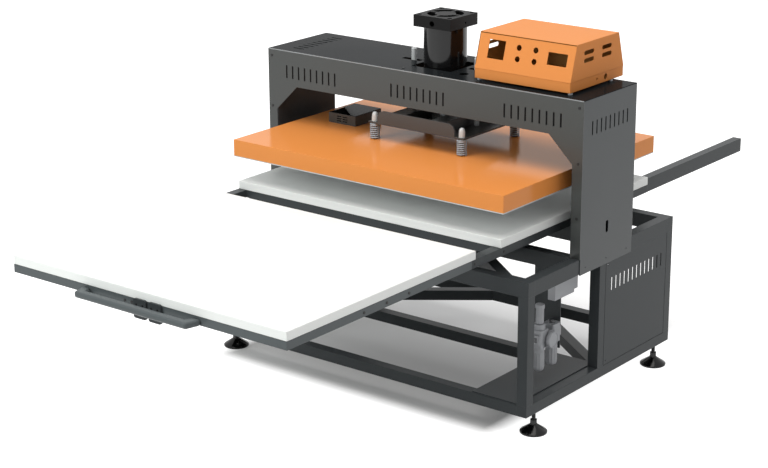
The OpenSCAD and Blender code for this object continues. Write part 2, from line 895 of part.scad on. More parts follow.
module gantry_sides() {
  color(steel) place() both() difference() {
    block(base_x, base_x + sheet_t, -inner_d, inner_d, side_low, skin);
    for (i = [0:front_slots - 1])
      translate([0, (i - (front_slots - 1) / 2) * slot_pitch, 0])
        block(base_x - cut, base_x + sheet_t + cut, -slot_w / 2, slot_w / 2,
              side_slot_z, side_slot_z + slot_len);
    block(base_x - cut, base_x + sheet_t + cut, -side_hole_w / 2, side_hole_w / 2,
          side_hole_z + side_hole_w / 2, side_hole_z + side_hole_len - side_hole_w / 2);
    for (z = [side_hole_z + side_hole_w / 2, side_hole_z + side_hole_len - side_hole_w / 2])
      rod_x(base_x - cut, base_x + sheet_t + cut, 0, z, side_hole_w / 2);
    for (y = [-inner_d + 2 * strip_screw_in, 0, inner_d - 2 * strip_screw_in])
      rod_x(base_x - cut, base_x + sheet_t + cut, y, rail_top_low + top_rail_h / 3, head_r / 2);
  }
}

module gantry_top() {
  edge = gantry_w / 2;
  color(steel) place() difference() {
    block(-edge, edge, -half_d, half_d, skin, gantry_h);
    block(-square_hole / 2, square_hole / 2, -square_hole / 2, square_hole / 2, skin - cut, gantry_h + cut);
    both() block(guide_x - rod_slot_len * 0.4, guide_x + rod_slot_len * 0.6,
                 -rod_slot_w / 2, rod_slot_w / 2, skin - cut, gantry_h + cut);
    rod_z(cable_x, cable_y, skin - cut, gantry_h + cut, cable_r);
    for (i = [0:front_slots - 1])
      translate([-top_row_x, (i - (front_slots - 1) / 2) * slot_pitch, 0])
        block(-top_row_len / 2, top_row_len / 2, -slot_w / 2, slot_w / 2, skin - cut, gantry_h + cut);
  }
}

module column_liners() {
  y = inner_d - tube_w;
  color(steel) place() both() {
    block(base_in, base_in + sheet_t, -inner_d, inner_d, base_h, portal_beam_z);
    block(base_in, base_in + sheet_t, -y, y, portal_beam_z, skin);
  }
}

module portal_frame() {
  color(steel) place() {
    both() for (y = [-inner_d, inner_d - tube_w])
      tube_z(base_in + sheet_t, base_x, y, y + tube_w, base_h, portal_beam_z, tube_wall);
    for (y = [-inner_d, inner_d - tube_w])
      tube_x(-base_x, base_x, y, y + tube_w, portal_beam_z, skin, tube_wall);
  }
}

module cylinder_plate() {
  color(steel) place() difference() {
    block(-mount_x, mount_x, -inner_d, inner_d, mount_z, cylinder_low);
    rod_z(0, 0, mount_z - cut, cylinder_low + cut, rod_r + bush_wall);
    both() rod_z(guide_x, 0, mount_z - cut, cylinder_low + cut, guide_r + bush_wall);
  }
}

module guide_bushes() {
  color([0.72, 0.58, 0.35]) place() both() difference() {
    union() {
      rod_z(guide_x, 0, mount_z, cylinder_low, guide_r + bush_wall);
      rod_z(guide_x, 0, cylinder_low, cylinder_low + bush_collar_t, guide_r + bush_wall + bush_collar);
    }
    rod_z(guide_x, 0, mount_z - cut, cylinder_low + bush_collar_t + cut, guide_r + run);
  }
}

module gantry_screws() {
  x = gantry_w / 2 - strip_screw_in;
  color(bright) place() {
    both() for (side = [-1, 1], k = [0, 1, 2])
      translate([x, side > 0 ? half_d : -half_d - head_h, skin - strip_screw_top - k * strip_screw_pitch])
        rotate([-90, 0, 0]) cylinder(r = head_r, h = head_h, $fn = coarse);
    both() for (y = [-1, 1])
      rod_z(top_row_x / 7, y * (half_d - 2 * strip_screw_in), gantry_h, gantry_h + head_h, head_r);
  }
}

// Cylinder

module cover_block(z0, z1) {
  w = head_w / 2;
  block(-w, w, -w, w, z0, z1);
}

module cylinder_head() {
  w = head_w / 2;
  color(black) place() difference() {
    cover_block(barrel_top, cylinder_top);
    difference() {
      rod_z(0, 0, cylinder_top - pocket_h, cylinder_top + cut, pocket_r);
      rod_z(0, 0, cylinder_top - pocket_h - cut, cylinder_top, boss_r);
      for (a = [0, 90])
        rotate([0, 0, a]) block(-pocket_r, pocket_r, -rib_w / 2, rib_w / 2,
                                cylinder_top - pocket_h - cut, cylinder_top);
    }
    for (x = [-1, 1], y = [-1, 1])
      rod_z(x * (w - recess_in), y * (w - recess_in), cylinder_top - recess_h, cylinder_top + cut, recess_r);
    rod_y(0, -w - cut, -w + port_depth, barrel_top + head_cover_h * 0.4, port_r);
    rod_x(w - port_depth, w + cut, recess_in / 2, barrel_top + head_cover_h * 0.4, plug_hole_r);
  }
}

module cylinder_barrel() {
  color(black) place() difference() {
    rod_z(0, 0, barrel_z, barrel_top, barrel_r);
    rod_z(0, 0, barrel_z - cut, barrel_top + cut, bore_r);
  }
}

module cylinder_foot() {
  w = head_w / 2;
  color(black) place() difference() {
    cover_block(cylinder_low, barrel_z);
    rod_z(0, 0, cylinder_low - cut, barrel_z + cut, rod_r + run);
    rod_y(0, -w - cut, -w + port_depth, cylinder_low + foot_cover_h / 2, port_r);
  }
}

module piston() {
  color(grey) place() rod_z(0, 0, piston_top - piston_t, piston_top, bore_r - run);
}

module piston_rod() {
  color(bright) place() rod_z(0, 0, plate_z + plate_t + rod_flange_h, piston_top - piston_t, rod_r);
}

module rod_flange() {
  color(steel) place() rod_z(0, 0, plate_z + plate_t, plate_z + plate_t + rod_flange_h, rod_flange_r);
}

// Press plate

module flange_profile() {
  polygon([
    [-flange_x, 0],
    [flange_x, 0],
    [flange_x, flange_h - flange_round],
    [flange_x - flange_round * 0.3, flange_h - flange_round * 0.3],
    [flange_x - flange_round, flange_h],
    [-flange_x + flange_round, flange_h],
    [-flange_x + flange_round * 0.3, flange_h - flange_round * 0.3],
    [-flange_x, flange_h - flange_round]
  ]);
}

module press_plate() {
  color(steel) place() difference() {
    union() {
      block(-plate_x, plate_x, -plate_y, plate_y, plate_z, plate_z + plate_t);
      for (side = [0, 1]) mirror([0, side, 0])
        translate([0, -plate_y + plate_t, plate_z]) rotate([90, 0, 0])
          linear_extrude(plate_t) flange_profile();
    }
    for (x = [-spring_x, spring_x], y = [-spring_y, spring_y])
      rod_z(x, y, plate_z - cut, plate_z + plate_t + cut, stud_r + fit);
  }
}

module press_channels() {
  z0 = plate_z + plate_t;
  z1 = plate_z + flange_h - channel_wall;
  y = plate_y - plate_t;
  color(steel) place() both() difference() {
    block(channel_x, channel_x + channel_w, -y, y, z0, z1);
    block(channel_x + channel_wall, channel_x + channel_w - channel_wall,
          -y - cut, y + cut, z0 - cut, z1 - channel_wall);
  }
}

module guide_rods() {
  color(bright) place() both() rod_z(guide_x, 0, plate_z + plate_t, guide_top, guide_r);
}

// One spring: straight lead, curls, straight lead, drawn as one unbroken tube

module coil_wire() {
  steps = 8;
  total = curls * steps;
  z0 = wire_r;
  points = [
    for (i = [0:total])
      [coil_r * cos(i * 360 / steps), coil_r * sin(i * 360 / steps), z0 + coil_rise * i / total]
  ];
  first = [coil_r, -lead_len, z0];
  last = [coil_r, lead_len, z0 + coil_rise];
  path = concat([first], points, [last]);
  count = len(path);
  tangents = [
    for (i = [0:count - 1])
      let (a = path[max(i - 1, 0)], b = path[min(i + 1, count - 1)]) (b - a) / norm(b - a)
  ];
  sides = 6;
  rings = [
    for (i = [0:count - 1])
      let (
        t = tangents[i],
        u0 = cross([0, 0, 1], t),
        u = u0 / norm(u0),
        v = cross(t, u)
      )
      for (k = [0:sides - 1])
        path[i] + wire_r * (cos(k * 360 / sides) * u + sin(k * 360 / sides) * v)
  ];
  walls = [
    for (i = [0:count - 2], k = [0:sides - 1])
      let (a = i * sides + k, b = i * sides + (k + 1) % sides)
      for (tri = [[a, b, b + sides], [a, b + sides, a + sides]]) tri
  ];
  ends = [
    for (k = [1:sides - 2])
      for (tri = [
        [0, k + 1, k],
        [(count - 1) * sides, (count - 1) * sides + k, (count - 1) * sides + k + 1]
      ]) tri
  ];
  polyhedron(rings, concat(walls, ends));
}

module press_springs() {
  color(bright) place() for (x = [-spring_x, spring_x], y = [-spring_y, spring_y])
    translate([x, y, coil_low]) coil_wire();
}

module spring_studs() {
  color(bright) place() for (x = [-spring_x, spring_x], y = [-spring_y, spring_y])
    rod_z(x, y, platen_z + platen_t, plate_z + plate_t + cap_h / 2, stud_r);
}

module stud_caps() {
  z = plate_z + plate_t;
  color(bright) place() for (x = [-spring_x, spring_x], y = [-spring_y, spring_y])
    translate([x, y, z]) difference() {
      rotate_extrude($fn = smooth) polygon([
        [0, 0],
        [cap_r, 0],
        [cap_r, cap_h / 4],
        [cap_top_r + wire_r, cap_h - cap_top_r],
        [cap_top_r, cap_h - cap_top_r / 3],
        [cap_top_r / 2, cap_h],
        [0, cap_h]
      ]);
      translate([0, 0, -cut]) cylinder(r = stud_r, h = cap_h / 2 + cut, $fn = smooth);
    }
}

// Heater

module heater_cover() {
  color(orange) place() difference() {
    block(-heat_x, heat_x, -heat_front, heat_rear, heat_top - heat_h, heat_top);
    block(-heat_x + heat_t, heat_x - heat_t, -heat_front + heat_t, heat_rear - heat_t,
          heat_top - heat_h - cut, heat_top - heat_t);
    for (x = [-spring_x, spring_x], y = [-spring_y, spring_y])
      rod_z(x, y, heat_top - heat_t - cut, heat_top + cut, stud_r + fit);
  }
}

module heater_platen() {
  inset = heat_t + platen_gap;
  color(bright) place()
    block(-heat_x + inset, heat_x - inset, -heat_front + inset, heat_rear - inset,
          platen_z, platen_z + platen_t);
}

module heating_elements() {
  room = heat_front + heat_rear - 2 * platen_gap - 2 * heat_t;
  step = room / elements;
  x = heat_x - element_in;
  color(grey) place() for (i = [0:elements - 1]) {
    y = -heat_front + platen_gap + heat_t + (i + 0.5) * step;
    for (side = [-1, 1]) rod_x(-x, x, y + side * element_half, element_z, element_r);
    translate([x, y, element_z]) rotate([0, 0, -90])
      rotate_extrude(angle = 180, $fn = smooth)
        translate([element_half, 0]) circle(r = element_r, $fn = smooth);
  }
}

module insulation() {
  inset = heat_t + platen_gap;
  color(white) place() difference() {
    block(-heat_x + inset, heat_x - inset, -heat_front + inset, heat_rear - inset,
          wool_z, heat_top - heat_t);
    for (x = [-spring_x, spring_x], y = [-spring_y, spring_y])
      rod_z(x, y, wool_z - cut, heat_top + cut, stud_r + fit);
  }
}

module junction_box() {
  y = junction_d / 2;
  color(steel) place() difference() {
    block(-junction_x, -junction_x + junction_w, -y, y, heat_top, heat_top + junction_h);
    block(-junction_x + junction_t, -junction_x + junction_w - junction_t,
          -y + junction_t, y - junction_t, heat_top + junction_t, heat_top + junction_h + cut);
    for (i = [0, 1], k = [-1, 0, 1])
      translate([-junction_x + junction_w / 2 - junction_slot - junction_slot_w, 0, 0])
        translate([i * (junction_slot + 2 * junction_slot_w), 0, k * 2.5 * junction_slot_w])
          block(0, junction_slot, -y - cut, -y + junction_t + cut,
                heat_top + junction_h / 2 - junction_slot_w / 2,
                heat_top + junction_h / 2 + junction_slot_w / 2);
  }
}

module junction_lid() {
  y = junction_d / 2;
  z = heat_top + junction_h;
  color(steel) place() translate([0, 0, z]) linear_extrude(junction_t) polygon([
    [-junction_x + junction_open, -y],
    [-junction_x + junction_w, -y],
    [-junction_x + junction_w, y],
    [-junction_x, y],
    [-junction_x, -y + junction_open_d]
  ]);
}

// Tables and sliding frame

module table_slab(y) {
  color(white) place()
    block(-table_x, table_x, y, y + table_len, frame_z + frame_h, table_top);
}

module table_front() {
  table_slab(front_front_y);
}

module table_rear() {
  table_slab(rear_front_y);
}

module cross_bar(y) {
  tube_x(-table_x + rail_w, table_x - rail_w, y, y + rail_w, frame_z, frame_z + frame_h, frame_wall);
}

module bar_group(mid) {
  for (k = [-1, 0, 1]) cross_bar(mid + k * bar_pitch - rail_w / 2);
}

module front_frame() {
  color(steel) place() {
    both() tube_y(table_x - rail_w, table_x, front_front_y, frame_seam_y,
                  frame_z, frame_z + frame_h, frame_wall);
    cross_bar(front_front_y);
    bar_group(table_y - table_pitch);
  }
}

module rear_frame() {
  color(steel) place() {
    both() tube_y(table_x - rail_w, table_x, frame_seam_y, rear_back_y,
                  frame_z, frame_z + frame_h, frame_wall);
    cross_bar(frame_seam_y);
    cross_bar(rear_front_y);
    bar_group(table_y);
    cross_bar(rear_back_y - rail_w);
  }
}

module frame_brackets() {
  x = table_x - rail_w;
  color(steel) place() both() {
    block(x - bracket_t, x, frame_seam_y - bracket_leg, frame_seam_y, frame_z, frame_z + frame_h);
    block(x - bracket_leg, x, frame_seam_y - bracket_t, frame_seam_y, frame_z, frame_z + frame_h);
  }
}

module guide_block(y) {
  low = strip_z - block_lip - fit;
  high = strip_z + strip_h + block_lip + fit;
  difference() {
    union() {
      block(strip_x - block_w, strip_x + strip_w - block_lip / 2, y, y + block_len, low, high);
      block(strip_x - block_w, strip_x, y, y + rail_w, high, frame_z);
    }
    block(strip_x - fit, strip_x + strip_w + cut, y - cut, y + block_len + cut,
          strip_z - fit, strip_z + strip_h + fit);
  }
}

module guide_blocks() {
  color(bright) place() both() {
    guide_block(rear_front_y);
    guide_block(table_y - bar_pitch - rail_w / 2);
    guide_block(table_y + bar_pitch - rail_w / 2);
  }
}

// Handle and front plates

module handle_plan(width) {
  y0 = front_front_y;
  y1 = y0 - grip_reach;
  inner = grip_x - width;
  foot = grip_x + grip_spread;
  difference() {
    polygon([[-foot, y0], [-grip_x, y1], [grip_x, y1], [foot, y0]]);
    polygon([[-foot + width, y0 + cut], [-inner, y1 + width], [inner, y1 + width], [foot - width, y0 + cut]]);
  }
}

module pull_handle() {
  color(steel) place() translate([grip_mid, 0, frame_z + grip_up - grip_h / 2])
    linear_extrude(grip_h) handle_plan(grip_w);
}

module front_plates() {
  z1 = frame_z + frame_h + front_plate_over;
  y = front_front_y;
  color(steel) place() for (k = [0, 1])
    translate([front_plate_x + k * front_plate_pitch, y, z1 - front_plate_h]) rotate([90, 0, 0])
      difference() {
        round_block(0, front_plate_w, 0, front_plate_h, 0, front_plate_t, front_plate_r);
        for (x = [front_plate_w / 4, front_plate_w * 3 / 4])
          rod_z(x, front_plate_h * 0.7, front_plate_t / 2, front_plate_t + cut, head_r / 2);
      }
}

module side_screw(y) {
  both() rod_x(table_x, table_x + head_h, y, frame_z + side_screw_up, head_r);
}

module shuttle_screws() {
  color(bright) place() {
    for (mid = [table_y, table_y - table_pitch], k = [-1, 0, 1]) side_screw(mid + k * bar_pitch);
    for (y = [frame_seam_y, rear_front_y]) side_screw(y + rail_w / 2);
    for (k = [1, 2])
      translate([front_plate_x - (k * 0.55 - 0.3) * front_plate_w, front_front_y, frame_z + side_screw_up])
        rotate([90, 0, 0]) cylinder(r = head_r, h = head_h, $fn = coarse);
  }
}

// Control box

module hood_profile(inset) {
  polygon([
    [box_front + inset, seam_z - (inset > 0 ? cut : 0)],
    [box_back - inset, seam_z - (inset > 0 ? cut : 0)],
    [box_back - box_slope - inset, seam_z + hood_h - inset],
    [box_front + box_slope + inset, seam_z + hood_h - inset]
  ]);
}

module vent(x0, x1, y, z) {
  half = (vent_len - vent_w) / 2;
  block(x0, x1, y - half, y + half, z - vent_w / 2, z + vent_w / 2);
  for (side = [-1, 1]) rod_x(x0, x1, y + side * half, z, vent_w / 2);
}

module control_hood() {
  mid = (box_front + box_back) / 2;
  front_wall = box_front + box_slope + 2 * box_t;
  color(orange) place() difference() {
    translate([box_x, 0, 0]) rotate([90, 0, 90]) linear_extrude(box_w) hood_profile(0);
    translate([box_x + box_t, 0, 0]) rotate([90, 0, 90])
      linear_extrude(box_w - 2 * box_t) hood_profile(box_t);
    translate([box_x, 0, seam_z + window_up]) {
      translate([window_a_x, 0, window_a_up - window_up])
        block(0, window_a_w, box_front - cut, front_wall, -window_a_h / 2, window_a_h / 2);
      block(window_b_x, window_b_x + window_b_w, box_front - cut, front_wall,
            -window_b_h / 2, window_b_h / 2);
      for (i = [0, 1], k = [-1, 1])
        rod_y(hole_x + i * hole_pitch_x, box_front - cut, front_wall, k * hole_pitch_z / 2, hole_r);
    }
    for (x = [box_x - cut, box_x + box_w - box_t - cut], side = [-1, 1], k = [0, 1])
      vent(x, x + box_t + 2 * cut, mid + side * vent_y, seam_z + vent_up + k * vent_pitch);
  }
}

module control_tray() {
  z0 = gantry_h + box_foot_h;
  x1 = box_x + box_w - box_step;
  color(orange) place() difference() {
    block(box_x + box_step, x1, box_front + box_step, box_back - box_step, z0, seam_z);
    block(box_x + box_step + box_t, x1 - box_t, box_front + box_step + box_t, box_back - box_step - box_t,
          z0 + box_t, seam_z + cut);
    rod_x(x1 - box_t - cut, x1 + cut, inlet_y, z0 + box_tray_h / 2, inlet_r);
    rod_x(x1 - box_t - cut, x1 + cut, (box_front + box_back) / 2, z0 + box_tray_h / 2, small_r);
  }
}

module control_feet() {
  inset = 2 * box_foot_r;
  edge = box_foot_r + 2 * box_step;
  color(grey) place() for (x = [box_x + edge, box_x + box_w - edge])
    for (y = [box_front + inset, inner_d - 2 * inset])
      rod_z(x, y, gantry_h, gantry_h + box_foot_h, box_foot_r);
}

// Air unit

module unit_body(y, height, reach_front, reach_back) {
  w = unit_w / 2;
  side = w - unit_step;
  translate([unit_x, y, unit_low]) {
    block(-side, side, -reach_front, reach_back, height / 4, height * 3 / 4);
    round_block(-w, w, -w, w, 0, height, unit_round);
  }
}

module filter_body() {
  z1 = unit_low + filter_h;
  color(grey) place() difference() {
    union() {
      unit_body(unit_y, filter_h - neck_h, port_reach, unit_pitch / 2);
      rod_z(unit_x, unit_y, unit_low + filter_h / 2, z1, neck_r);
    }
    rod_z(unit_x, unit_y, z1 - knob_stem, z1 + cut, knob_stem_r + run);
    block(unit_x + unit_w / 2 - sight_d, unit_x + unit_w / 2 + cut,
          unit_y - sight_w / 2, unit_y + sight_w / 2, unit_low + sight_d, unit_low + sight_d + sight_w);
  }
}

module bowl(y, r) {
  inner = r - bowl_wall;
  translate([unit_x, y, unit_low - bowl_h]) rotate_extrude($fn = smooth) polygon([
    [0, 0],
    [r - bowl_wall, 0],
    [r, bowl_wall],
    [r, bowl_h],
    [inner, bowl_h],
    [inner, 2 * bowl_wall],
    [0, 2 * bowl_wall]
  ]);
}

module filter_bowl() {
  color(grey) place() bowl(unit_y, bowl_r);
}

module lubricator_body() {
  y = unit_y + unit_pitch;
  color(grey) place() {
    unit_body(y, lubricator_h, unit_pitch / 2, -half_d - y);
    rod_z(unit_x, y, unit_low + lubricator_h / 2, unit_low + lubricator_h + dome_r, dome_r);
  }
}

module lubricator_bowl() {
  color(grey) place() bowl(unit_y + unit_pitch, oil_bowl_r);
}

module pressure_gauge() {
  y = unit_y + unit_pitch / 2 - gauge_fore;
  z = unit_low + gauge_up;
  color(grey) place() {
    rod_x(unit_x + unit_w / 2 - unit_step, unit_x + gauge_out, y, z, gauge_stem_r);
    rod_x(unit_x + gauge_out, unit_x + gauge_out + gauge_t / 2, y, z, gauge_r * 0.95);
    difference() {
      rod_x(unit_x + gauge_out + gauge_t / 2, unit_x + gauge_out + gauge_t, y, z, gauge_r);
      rod_x(unit_x + gauge_out + gauge_t - sight_d, unit_x + gauge_out + gauge_t + cut,
            y, z, gauge_r - sight_d);
    }
  }
}

module regulator_knob() {
  z0 = unit_low + filter_h;
  color(grey) place() translate([unit_x, unit_y, z0]) {
    translate([0, 0, -knob_stem + knob_stem_r]) cylinder(r = knob_stem_r, h = knob_stem, $fn = smooth);
    rotate_extrude($fn = smooth) polygon([
      [0, fit],
      [knob_r - sight_d, fit],
      [knob_r - sight_d, knob_h - knob_ring_h],
      [knob_r, knob_h - knob_ring_h],
      [knob_r, knob_h - sight_d],
      [knob_r - sight_d, knob_h],
      [0, knob_h]
    ]);
  }
}

module valve_block() {
  x1 = base_in;
  color(grey) place() {
    block(x1 - valve_w, x1, valve_front, valve_front + valve_len, rail_top_low - valve_h, rail_top_low);
    block(x1 - valve_ear_t, x1, valve_front, -half_d, rail_top_low, rail_top_low + valve_ear_h);
    block(x1 - valve_w, x1, valve_front + valve_len, valve_front + valve_len + pilot_out,
          rail_top_low - valve_h + pilot_up, rail_top_low);
  }
}

foot_pads();
foot_stems();
foot_nuts();
base_posts();
base_top_rails();
base_bottom_rails();
base_braces();
base_end_plates();
base_tray();
side_covers();
service_post();
slide_rails();
rail_plugs();
guide_strips();
portal_frame();
cylinder_plate();
guide_bushes();
gantry_front();
gantry_back();
gantry_sides();
gantry_top();
column_liners();
gantry_screws();
cylinder_head();
cylinder_barrel();
cylinder_foot();
control_tray();
control_hood();
control_feet();
filter_body();
filter_bowl();
pressure_gauge();
lubricator_body();
lubricator_bowl();
valve_block();
regulator_knob();
table_front();
table_rear();
front_frame();
rear_frame();
frame_brackets();
guide_blocks();
pull_handle();
front_plates();
shuttle_screws();
piston();
piston_rod();
rod_flange();
press_plate();
press_channels();
guide_rods();
press_springs();
heater_cover();
heater_platen();
heating_elements();
insulation();
spring_studs();
stud_caps();
junction_box();
junction_lid();
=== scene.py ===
# %% [markdown]
# # A portal heat press with two sliding tables
#
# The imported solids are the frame: every tube, sheet and plate already sits in its place. They could be
# modelled again by hand, but loading them keeps each piece where the construction put it. This script
# gives them their finishes and adds the forms that a solid model leaves plain, such as turned feet and
# softened sheet edges. All lengths are metres.

# %% Load the frame
import bpy
import bmesh
import json
import math
from mathutils import Matrix, Vector


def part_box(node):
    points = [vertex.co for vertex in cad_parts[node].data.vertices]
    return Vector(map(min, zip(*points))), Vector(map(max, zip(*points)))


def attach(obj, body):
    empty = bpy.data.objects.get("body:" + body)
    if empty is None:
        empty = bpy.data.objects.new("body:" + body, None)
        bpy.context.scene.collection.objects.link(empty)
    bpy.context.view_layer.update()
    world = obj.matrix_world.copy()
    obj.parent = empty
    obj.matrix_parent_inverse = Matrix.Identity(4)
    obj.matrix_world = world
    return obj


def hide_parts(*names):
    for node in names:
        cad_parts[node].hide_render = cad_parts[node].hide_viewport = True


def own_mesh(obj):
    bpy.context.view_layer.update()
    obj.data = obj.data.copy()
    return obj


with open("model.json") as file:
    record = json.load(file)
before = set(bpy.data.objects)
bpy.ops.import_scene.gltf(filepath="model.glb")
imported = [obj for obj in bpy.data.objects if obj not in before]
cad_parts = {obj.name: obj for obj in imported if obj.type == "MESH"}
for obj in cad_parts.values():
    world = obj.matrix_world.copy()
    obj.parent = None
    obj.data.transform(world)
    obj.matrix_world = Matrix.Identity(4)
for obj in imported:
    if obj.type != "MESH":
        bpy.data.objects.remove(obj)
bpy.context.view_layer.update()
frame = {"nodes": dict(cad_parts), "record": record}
nodes = frame["nodes"]
body_of_node = {n: b for b, names in frame["record"]["behaviour"]["bodies"].items() for n in names}
slot_of_node = {s["node"]: s["material_slot"] for s in frame["record"]["subparts"]}

# %% [markdown]
# ## Camera
#
# The photograph was taken with a long lens from the front right, a little above the machine. A camera
# could be placed by eye, but this one's lens and place come from lines that are level and square on the
# real machine, so that its edges fall where they do in the photograph.

# %% Camera
camera = bpy.data.objects.new("camera", bpy.data.cameras.new("camera"))
bpy.context.collection.objects.link(camera)
camera.data.sensor_width = 36
camera.data.lens = 91.47
camera.data.clip_end = 60
camera.location = (4.0823, -5.4684, 2.6847)
camera.rotation_euler = [math.radians(a) for a in (72.250, 0.259, 38.021)]
bpy.context.scene.camera = camera
print("camera at", tuple(round(v, 2) for v in camera.location))

# %% [markdown]
# ## Shader maths
#
# A material is a tree of nodes, and a tree of many Math nodes is hard to read. This class wraps one
# socket, so that a formula such as `a * 2 + b` adds the Math nodes, and `node` adds any other node: its
# settings first, then its inputs.


# %% Shader maths as Python
class Signal:
    """A socket of a material, or of a node in it, that takes part in sums."""

    def __init__(self, tree, socket=None):
        self.tree, self.socket = tree, socket

    def node(self, kind, settings=None, out=0, **inputs):
        """A new node: inputs go by their names, or by i and a number where names repeat."""
        made = self.tree.nodes.new("ShaderNode" + kind)
        for name, value in (settings or {}).items():
            setattr(made, name, value)
        for name, value in inputs.items():
            numbered = name[0] == "i" and name[1:].isdigit()
            target = made.inputs[int(name[1:])] if numbered else made.inputs[name]
            if isinstance(value, Signal):
                self.tree.links.new(value.socket, target)
            else:
                target.default_value = value
        return Signal(self.tree, made.outputs[out]) if made.outputs else None

    def maths(self, operation, *values):
        """A Math node: on these values, or on this signal and one more."""
        if len(values) < 2:
            values = (self, *values)
        inputs = {f"i{k}": v for k, v in enumerate(values)}
        return self.node("Math", {"operation": operation}, **inputs)

    def __add__(self, other):
        return self.maths("ADD", self, other)

    def __radd__(self, other):
        return self.maths("ADD", other, self)

    def __sub__(self, other):
        return self.maths("SUBTRACT", self, other)

    def __rsub__(self, other):
        return self.maths("SUBTRACT", other, self)

    def __mul__(self, other):
        return self.maths("MULTIPLY", self, other)

    def __rmul__(self, other):
        return self.maths("MULTIPLY", other, self)

    def __truediv__(self, other):
        return self.maths("DIVIDE", self, other)

    def clamped(self):
        """This signal, kept between 0 and 1."""
        return self.node("Clamp", Value=self)

    def noise(self, scale, detail=2, stretch=(1, 1, 1)):
        """Noise over this signal, which holds places: 0.5 in the middle."""
        places = self.node("Mapping", Vector=self, Scale=stretch)
        return self.node("TexNoise", Vector=places, Scale=scale, Detail=detail)

    def between(self, low, high):
        """This signal, from 0 to 1, turned into a mix of two colours."""
        return self.node("Mix", {"data_type": "RGBA"}, out=2, i0=self, i6=low, i7=high)


print("signal maths ready")

# %% [markdown]
# A shader takes linear colours, and those are hard to picture: a grey that looks half bright is only
# about a fifth. So each paint is written as on the web, and this helper turns it into linear values.


# %% Colours
def tone(code):
    """A colour written as on the web, as the linear values that a shader takes."""
    parts = [int(code[k:k + 2], 16) / 255 for k in (1, 3, 5)]
    linear = [p / 12.92 if p <= 0.04045 else ((p + 0.055) / 1.055) ** 2.4 for p in parts]
    return (*linear, 1)


print("a half bright grey is", round(tone("#808080")[0], 3))

# %% [markdown]
# ## World
#
# The photograph shows the machine on plain white. A world that is white to everything would also light
# the machine flatly from all sides. So it is white only to rays from the camera, off gloss or through
# glass. For the light itself it is a studio with a bright ceiling and dim walls: it grows with the
# height of the ray.


# %% World
def looked_at(signal):
    """1 for rays from the camera, off gloss or through glass, and 0 for light that falls on things."""
    rays = ("Is Camera Ray", "Is Glossy Ray", "Is Transmission Ray")
    return sum(signal.node("LightPath", out=ray) for ray in rays).clamped()


world = bpy.data.worlds.new("studio")
bpy.context.scene.world = world
world.use_nodes = True
world.node_tree.nodes.clear()
sky = Signal(world.node_tree)
seen_sky = looked_at(sky)
wall_light, ceiling_light = 0.32, 0.66
rise = sky.node("SeparateXYZ", out="Z", Vector=sky.node("TexCoord", out="Generated")).clamped()
room = rise * rise * ceiling_light + wall_light
strength = seen_sky + (1 - seen_sky) * room
sky.node("OutputWorld", Surface=sky.node("Background", Color=(1, 1, 1, 1), Strength=strength))
bpy.context.scene.view_settings.view_transform = "Standard"
print("walls", wall_light, "ceiling", ceiling_light)

# %% [markdown]
# ## Floor
#
# The machine stands on a plain white floor. A curved backdrop could do the same, but the world is white
# already, so one wide square that meets it at the horizon is enough.

# %% Floor
floor_half = 14
bm = bmesh.new()
bmesh.ops.create_grid(bm, x_segments=1, y_segments=1, size=floor_half)
floor_mesh = bpy.data.meshes.new("floor")
bm.to_mesh(floor_mesh)
bm.free()
floor = bpy.data.objects.new("floor", floor_mesh)
bpy.context.collection.objects.link(floor)
print("floor", 2 * floor_half, "m wide")

# %% [markdown]
# In the photograph a grey shadow lies under the base and the floor around it is white. A plain floor
# would be grey all over, and one that shines white all over would lose the shadow. So the floor adds some
# light of its own, for the same rays as the world: little of it under the base and all of it a hand's
# breadth away. Towards the back it grows slowly, because the shadow fades there. The grey that shows is
# darker than the grey that light bounces off, so that a deeper shadow doesn't dim the machine from below.

# %% Floor paint
floor_paint = bpy.data.materials.new("floor_paint")
floor_paint.use_nodes = True
floor_paint.node_tree.nodes.clear()
ground = Signal(floor_paint.node_tree)
seen_floor = looked_at(ground)
bouncing, shown = (0.75, 0.75, 0.75, 1), (0.60, 0.60, 0.60, 1)
flat = ground.node("BsdfDiffuse", Color=seen_floor.between(bouncing, shown))
ground_places = ground.node("TexCoord", out="Object")
across, along = [ground.node("SeparateXYZ", out=axis, Vector=ground_places) for axis in ("X", "Y")]
base_low, base_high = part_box("base_bottom_rails")
inset_left, inset_right = 0.06, 0.17
left, right, front = base_low.x + inset_left, base_high.x - inset_right, base_low.y
dark_depth, rear_growth, fade = 0.35, 0.04, 0.07
aside = ((across - (left + right) / 2).maths("ABSOLUTE") - (right - left) / 2).maths("MAXIMUM", 0)
behind = (along - (front + dark_depth)) * rear_growth
ahead = (front - along).maths("MAXIMUM", behind).maths("MAXIMUM", 0)
clear = ((aside * aside + ahead * ahead).maths("SQRT") / fade).clamped()
lift_under_base, lift_in_the_open = 0.11, 0.84
glow = seen_floor * (clear * lift_in_the_open + lift_under_base)
lift = ground.node("Emission", Color=(1, 1, 1, 1), Strength=glow)
ground.node("OutputMaterial", Surface=ground.node("AddShader", i0=flat, i1=lift))
floor.data.materials.append(floor_paint)
print("shadow kept from x", round(left, 3), "to", round(right, 3))

# %% [markdown]
# ## Lamps
#
# Large square lamps give the soft edges of studio light. One hangs above the front half and one stands
# at the front left. A sun would give hard shadows, and one lamp alone would leave the fronts dark. The
# upper lamp is a trace warmer, as the tops are redder than the fronts in the photograph.


